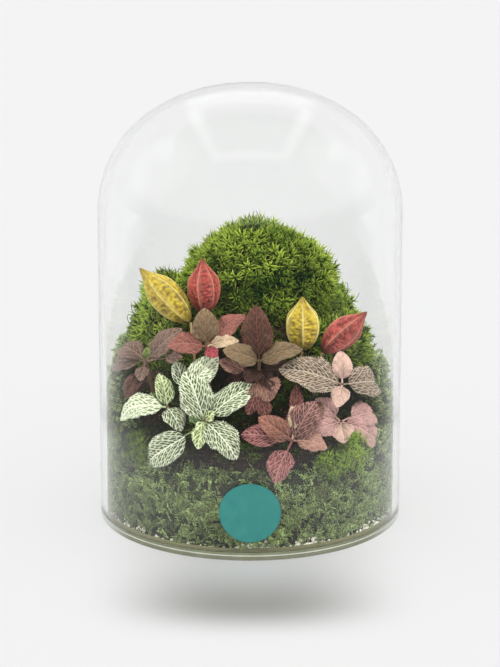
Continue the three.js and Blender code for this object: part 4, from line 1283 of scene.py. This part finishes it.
def pod_material(name, colours):
    shade, wall, bright, rib, dry = [srgb(*colour) for colour in colours]
    material, tree, shader = new_material(name, 0.5)
    share = painted(tree, "share")
    # The folds take painted shade, and the high places a painted highlight.
    folded = ramp(tree, painted(tree, "fold"), [(0.05, shade), (0.5, wall), (0.95, bright)])
    specks = math_node(tree, "MULTIPLY", fine_noise(tree, 700, 5), 0.22)
    dusted = mix_colour(tree, specks, folded, rib)
    ribbed = mix_colour(tree, painted(tree, "rib"), dusted, rib)
    browned = mapped(tree, share, 0.24, 0.02, 0.0, 0.85)
    tipped = mapped(tree, share, 0.86, 1.0, 0.0, 0.7)
    ends = math_node(tree, "MAXIMUM", browned, tipped)
    tree.links.new(mix_colour(tree, ends, ribbed, dry), shader.inputs["Base Color"])
    give_relief(tree, shader, fine_noise(tree, 500, 6), 0.45, 0.0005)
    return material


pod_finishes = {kind: pod_material(f"{kind}_pod", colours) for kind, colours in POD_COLOURS.items()}
wood, tree, shader = new_material("pick_wood", 0.7)
stretched = add_node(tree, "Mapping", {"Vector": object_place(tree), "Scale": (900, 900, 40)}).outputs[0]
streaks = add_node(tree, "TexNoise", {"Vector": stretched, "Scale": 1, "Detail": 4}).outputs[0]
tree.links.new(ramp(tree, streaks, [(0.3, srgb(140, 108, 66)), (0.7, srgb(200, 172, 124))]),
               shader.inputs["Base Color"])

for number, pod in enumerate(PODS):
    colour = pod["side"].split("_")[0]
    shell = seed_pod(pod, 7 * number)
    fit_out(shell, pod_finishes[colour], f"{colour}_pod", f"pod_{pod['side']}")
    foot, _, axis, _, _ = pod_axes(pod)
    pick_top = foot - axis * PICK_GAP * MM
    pick_root = np.array([pick_top[0] * PICK_INWARD, pick_top[1] - PICK_LEAN * MM, 0])
    pick_root[2] = soil_height(pick_root[0], pick_root[1])
    downward = (pick_root - pick_top) / np.linalg.norm(pick_root - pick_top)
    pick_foot = pick_root + downward * STEM_ROOT_DEPTH
    pick = tube(f"pick_{pod['side']}_wood", [pick_foot, pick_root, pick_top],
                [PICK_RADIUS * 0.6, PICK_RADIUS * 0.95, PICK_RADIUS * 0.95])
    fit_out(pick, wood, "pick_wood", f"pick_{pod['side']}")

# ---------------------------------------------------------------- bell jar
# A blown bell jar of clear glass, closed at the top and open below, with walls 4 mm thick and a
# fire-polished mouth that stands on the plate. The dome is a little squarer than half an ellipse.
JAR_HEIGHT = 290 * MM
DOME_RISE = 84 * MM
DOME_FOOT = JAR_HEIGHT - DOME_RISE
DOME_POWER = 2.15
DOME_STEPS = 40
GLASS_WALL = 4 * MM
LIP_ROUND = 0.2 * MM


def dome_curve(radius, rise):
    """Points from the dome's foot to its crown."""
    turns = np.linspace(0, math.pi / 2, DOME_STEPS + 1)
    spread = radius * np.maximum(np.cos(turns), 0) ** (2 / DOME_POWER)
    spread[-1] = 0
    heights = DOME_FOOT + rise * np.sin(turns) ** (2 / DOME_POWER)
    return list(zip(spread, heights))


def mouth_curve(radius, hand):
    """The mouth's small round, from a wall down to the plate; hand is 1 outside and -1 inside."""
    turns = np.linspace(0, math.pi / 2, 5)
    across = radius - hand * LIP_ROUND * (1 - np.cos(turns))
    return list(zip(across, PLATE_THICKNESS + LIP_ROUND * (1 - np.sin(turns))))


wall_heights = np.linspace(PLATE_THICKNESS + 2 * LIP_ROUND, DOME_FOOT, 12)[:-1]
inner_radius = JAR_RADIUS - GLASS_WALL
jar_outline = dome_curve(JAR_RADIUS, DOME_RISE)[::-1] + [(JAR_RADIUS, z) for z in wall_heights[::-1]]
jar_outline += mouth_curve(JAR_RADIUS, 1) + mouth_curve(inner_radius, -1)[::-1]
jar_outline += [(inner_radius, z) for z in wall_heights] + dome_curve(inner_radius, DOME_RISE - GLASS_WALL)
jar = spun_piece("bell_jar", jar_outline, 60)
fit_out(jar, clear_glass("jar_glass"), "clear_glass", "glass_dome")

# ---------------------------------------------------------------- round sticker
# A plain round vinyl sticker, 40 mm across, stuck on the front of the jar near its foot. It is bare.
LABEL_RADIUS = 20 * MM
LABEL_HEIGHT = 33 * MM
LABEL_THICKNESS = 0.3 * MM
LABEL_GLUE = 0.5 * MM

sticker = new_shape(bpy.ops.mesh.primitive_circle_add, vertices=96, radius=LABEL_RADIUS, fill_type="TRIFAN")
edit_mesh(sticker, bpy.ops.mesh.subdivide, number_cuts=5)
disc = corners(sticker)
around = -math.pi / 2 + disc[:, 0] / JAR_RADIUS
move_corners(sticker, polar(around, np.full(len(disc), JAR_RADIUS + LABEL_GLUE), LABEL_HEIGHT + disc[:, 1]))
paint(sticker, "rim", np.hypot(disc[:, 0], disc[:, 1]) / LABEL_RADIUS)
thicken(sticker, LABEL_THICKNESS, 1)
bpy.ops.object.shade_smooth_by_angle(angle=math.radians(40))
sticker.name = "round_sticker"

vinyl, tree, shader = new_material("label_vinyl", 0.42)
vinyl_grain = fine_noise(tree, 130, 3)
teal = ramp(tree, vinyl_grain, [(0.3, srgb(50, 128, 124)), (0.7, srgb(58, 138, 132))])
# The sticker is a little darker at its rim.
rim_darkening = mapped(tree, painted(tree, "rim"), 0.95, 1.0)
tree.links.new(mix_colour(tree, rim_darkening, teal, srgb(48, 120, 116)), shader.inputs["Base Color"])
give_relief(tree, shader, vinyl_grain, 0.08, 0.0003)
fit_out(sticker, vinyl, "label_vinyl", "label")

# ---------------------------------------------------------------- studio
# A white table under a high light behind the jar, which throws its shadow forward. Softboxes round the jar
# light the planting and not the table. In the glass the air is white but for a dark front, with a bright
# frame overhead and two round lights at the sides.
PHOTO_PLACE = (0, -2.3190, 0.8322)
PHOTO_PITCH = 73
PHOTO_LENS = 197.6
FLOOR_SIZE = 30
FLOOR_HEIGHT = -0.0002
TABLE_FRONT = -0.33
FRAME_HEIGHT = 1.6
FRAME_SIDE = (0.5, 0.68)
FRAME_FRONT = (-0.38, -0.1)
FRAME_BACK = (2.2, 5.0)
FRAME_FLARE = 0.07
FRAME_GLOW = 0.6
ROUND_LIGHTS = ((-0.79, 0.14, 0.6), (0.79, 0.14, 0.6))
ROUND_GLOW = 0.32
SUN = (0, 0.77, 0.79)
FLAG_HEIGHT = 0.45
SHADOW_MIDDLE = -0.127
SHADOW_WIDE = 0.104
SHADOW_DEEP = 0.096
SHADOW_DEPTH = 0.905
SOFTBOXES = [("left_softbox", (-1.4, -0.35, 0.95), 20, 0.4), ("right_softbox", (1.4, -0.2, 1.0), 21, 0.4),
             ("top_softbox", (0.15, -0.9, 1.9), 21, 0.3), ("front_softbox", (0, -1.7, 0.5), 7, 0.5)]


def soft_step(tree, value, low, high):
    """0 to 1 as the value goes from low to high, or 1 to 0 where low is the greater."""
    return mapped(tree, value, low, high, easing="SMOOTHSTEP")


def glass_rays(tree, depth):
    """Masks of the rays that come from glass, and of those that have met as many faces as depth says."""
    path = add_node(tree, "LightPath").outputs
    return (math_node(tree, "MAXIMUM", path["Is Glossy Ray"], path["Is Transmission Ray"]),
            math_node(tree, "COMPARE", path["Ray Depth"], depth, 0.5))


# Seen straight through the jar, which is four faces of glass, the table is plain. Elsewhere in the glass
# it darkens away from the jar, but for the part behind it, and its front part isn't seen there at all.
floor_material, tree, shader = new_material("studio_floor", 0.8)
floor_place = add_node(tree, "NewGeometry").outputs["Position"]
away = add_node(tree, "VectorMath", {0: floor_place}, operation="LENGTH").outputs["Value"]
near = soft_step(tree, away, 0.36, 0.22)
behind = soft_step(tree, add_node(tree, "SeparateXYZ", {0: floor_place}).outputs["Y"], 0.0, 0.25)
clear = math_node(tree, "MULTIPLY_ADD", math_node(tree, "MAXIMUM", near, behind), 0.75, 0.25)
in_glass, straight = glass_rays(tree, 4)
mirrored = math_node(tree, "MAXIMUM", math_node(tree, "SUBTRACT", in_glass, straight), 0)
shown = add_node(tree, "Mix", {"Factor": mirrored, 2: 1.0, 3: clear}).outputs[0]
paper = add_node(tree, "VectorMath", {0: (0.86, 0.86, 0.855), "Scale": shown}, operation="SCALE").outputs[0]
tree.links.new(paper, shader.inputs["Base Color"])
shader.inputs["Specular IOR Level"].default_value = 0.1
floors = bpy.data.collections.new("studio_floors")
off_floor = bpy.data.collections.new("studio_off_floor")
for name, side in (("studio_table", 1), ("studio_front", -1)):
    middle = TABLE_FRONT + side * FLOOR_SIZE / 2
    floor = new_shape(bpy.ops.mesh.primitive_plane_add, size=FLOOR_SIZE, location=(0, middle, FLOOR_HEIGHT))
    floor.name = name
    floor.data.materials.append(floor_material)
    floor.visible_glossy = name == "studio_table"
    floor.visible_transmission = name == "studio_table"
    floors.objects.link(floor)
    off_floor.objects.link(floor)

# Lights that are linked to this collection light everything but the floor.
for member in off_floor.collection_objects:
    member.light_linking.link_state = "EXCLUDE"


def studio_light(name, kind, place, aim, energy, receivers=None):
    """A light that isn't seen in the glass."""
    light = bpy.data.lights.new(name, kind)
    light.energy = energy
    holder = bpy.data.objects.new(name, light)
    bpy.context.collection.objects.link(holder)
    holder.location = place
    holder.rotation_euler = (Vector(aim) - Vector(place)).to_track_quat("-Z", "Y").to_euler()
    holder.visible_glossy = False
    holder.visible_transmission = False
    holder.light_linking.receiver_collection = receivers
    return light


back_key = studio_light("back_key", "SUN", SUN, (0, 0, 0), 3.2, floors)
back_key.angle = math.radians(3)
back_key.color = (0.98, 0.985, 1.03)
back_glow = studio_light("back_glow", "SUN", SUN, (0, 0, 0), 1.6, off_floor)
back_glow.angle = math.radians(10)
for name, place, energy, size in SOFTBOXES:
    softbox = studio_light(name, "AREA", place, (0, -0.03, 0.12), energy, off_floor)
    softbox.size = size


def soft_box(tree, wide, deep, side, front, back, soft):
    """1 inside a box of the studio's ceiling, fading to 0 at its edges."""
    across = soft_step(tree, wide, side + soft, side - soft)
    near = soft_step(tree, deep, front - soft, front + soft)
    far = soft_step(tree, deep, back + 4 * soft, back - 4 * soft)
    return math_node(tree, "MULTIPLY", across, math_node(tree, "MULTIPLY", near, far))


# A soft flag stands in the back light's way for the floor alone, and makes the one smooth shadow.
flag_place = (0, FLAG_HEIGHT * SUN[1] / SUN[2], FLAG_HEIGHT)
flag = new_shape(bpy.ops.mesh.primitive_plane_add, size=0.7, location=flag_place)
flag.name = "studio_flag"
flag_material, tree, shader = new_material("studio_flag", 1)
shader.inputs["Base Color"].default_value = (0, 0, 0, 1)
split = add_node(tree, "SeparateXYZ", {0: object_place(tree)})
wide = math_node(tree, "DIVIDE", split.outputs["X"], SHADOW_WIDE)
deep = math_node(tree, "DIVIDE", math_node(tree, "SUBTRACT", split.outputs["Y"], SHADOW_MIDDLE), SHADOW_DEEP)
reach = math_node(tree, "ADD", math_node(tree, "POWER", math_node(tree, "ABSOLUTE", wide), 2),
                  math_node(tree, "POWER", math_node(tree, "ABSOLUTE", deep), 6))
core = soft_step(tree, math_node(tree, "SQRT", reach), 1.04, 0.2)
rising = mapped(tree, split.outputs["Y"], -0.1, -0.175, 0.4, 1.0)
dense = math_node(tree, "MULTIPLY", math_node(tree, "MULTIPLY", core, rising), SHADOW_DEPTH)
open_air = add_node(tree, "BsdfTransparent")
screen = add_node(tree, "MixShader", {0: dense, 1: open_air.outputs[0], 2: shader.outputs[0]})
tree.links.new(screen.outputs[0], tree.nodes["Material Output"].inputs["Surface"])
flag.data.materials.append(flag_material)
for kind in ("camera", "diffuse", "glossy", "transmission", "volume_scatter"):
    setattr(flag, f"visible_{kind}", False)
flags = bpy.data.collections.new("studio_flags")
flags.objects.link(flag)
bpy.data.objects["back_key"].light_linking.blocker_collection = flags

# The air counts the table's four faces as five. Seen straight through the jar it is as plain as beside it.
world = bpy.data.worlds.new("studio_air")
world.use_nodes = True
bpy.context.scene.world = world
tree = world.node_tree
direction = add_node(tree, "TexCoord").outputs["Generated"]
split = add_node(tree, "SeparateXYZ", {0: direction})
elevation = split.outputs["Z"]
height = math_node(tree, "MAXIMUM", elevation, 0.02)
deep = math_node(tree, "MULTIPLY", math_node(tree, "DIVIDE", split.outputs["Y"], height), FRAME_HEIGHT)
wide = math_node(tree, "MULTIPLY", math_node(tree, "DIVIDE", split.outputs["X"], height), FRAME_HEIGHT)
flare = math_node(tree, "MULTIPLY", math_node(tree, "MAXIMUM", deep, 0), FRAME_FLARE)
wide = math_node(tree, "SUBTRACT", math_node(tree, "ABSOLUTE", wide), flare)
outer = soft_box(tree, wide, deep, FRAME_SIDE[1], FRAME_FRONT[0], FRAME_BACK[1], 0.1)
inner = soft_box(tree, wide, deep, FRAME_SIDE[0], FRAME_FRONT[1], FRAME_BACK[0], 0.1)
glow = math_node(tree, "MULTIPLY", math_node(tree, "SUBTRACT", outer, inner), FRAME_GLOW)
fading = mapped(tree, deep, 1.4, 2.4, 1.0, 0.4)
glow = math_node(tree, "MULTIPLY", glow, fading)
for aim in ROUND_LIGHTS:
    facing = add_node(tree, "VectorMath", {0: direction, 1: tuple(Vector(aim).normalized())},
                      operation="DOT_PRODUCT").outputs["Value"]
    glow = math_node(tree, "MULTIPLY_ADD", soft_step(tree, facing, 0.86, 0.97), ROUND_GLOW, glow)
low = soft_step(tree, elevation, 0.3, 0.04)
front = math_node(tree, "MULTIPLY", soft_step(tree, split.outputs["Y"], 0.5, -0.1), low)
seen = mix_colour(tree, front, (0.88, 0.88, 0.88, 1), (0.12, 0.12, 0.12, 1))
above = math_node(tree, "GREATER_THAN", elevation, 0)
seen = mix_colour(tree, 1.0, seen, math_node(tree, "MULTIPLY", glow, above), "ADD")
air = ramp(tree, elevation, [(0, (0.52, 0.515, 0.48, 1)), (0.35, (0.36, 0.357, 0.332, 1)),
                             (1, (0.30, 0.297, 0.275, 1))])
in_glass, straight = glass_rays(tree, 5)
lit_air = mix_colour(tree, in_glass, air, seen)
clear_view = math_node(tree, "MULTIPLY", in_glass, straight)
plain = math_node(tree, "MAXIMUM", add_node(tree, "LightPath").outputs["Is Camera Ray"], clear_view)
shown_air = mix_colour(tree, plain, lit_air, (0.9, 0.9, 0.9, 1))
tree.links.new(shown_air, tree.nodes["Background"].inputs["Color"])
bpy.context.scene.view_settings.view_transform = "Standard"

camera_data = bpy.data.cameras.new("photo_camera")
camera_data.sensor_width = 36
camera_data.lens = PHOTO_LENS
camera_data.clip_end = 60
camera = bpy.data.objects.new("photo_camera", camera_data)
bpy.context.collection.objects.link(camera)
camera.location = PHOTO_PLACE
camera.rotation_euler = (math.radians(PHOTO_PITCH), 0, 0)
bpy.context.scene.camera = camera
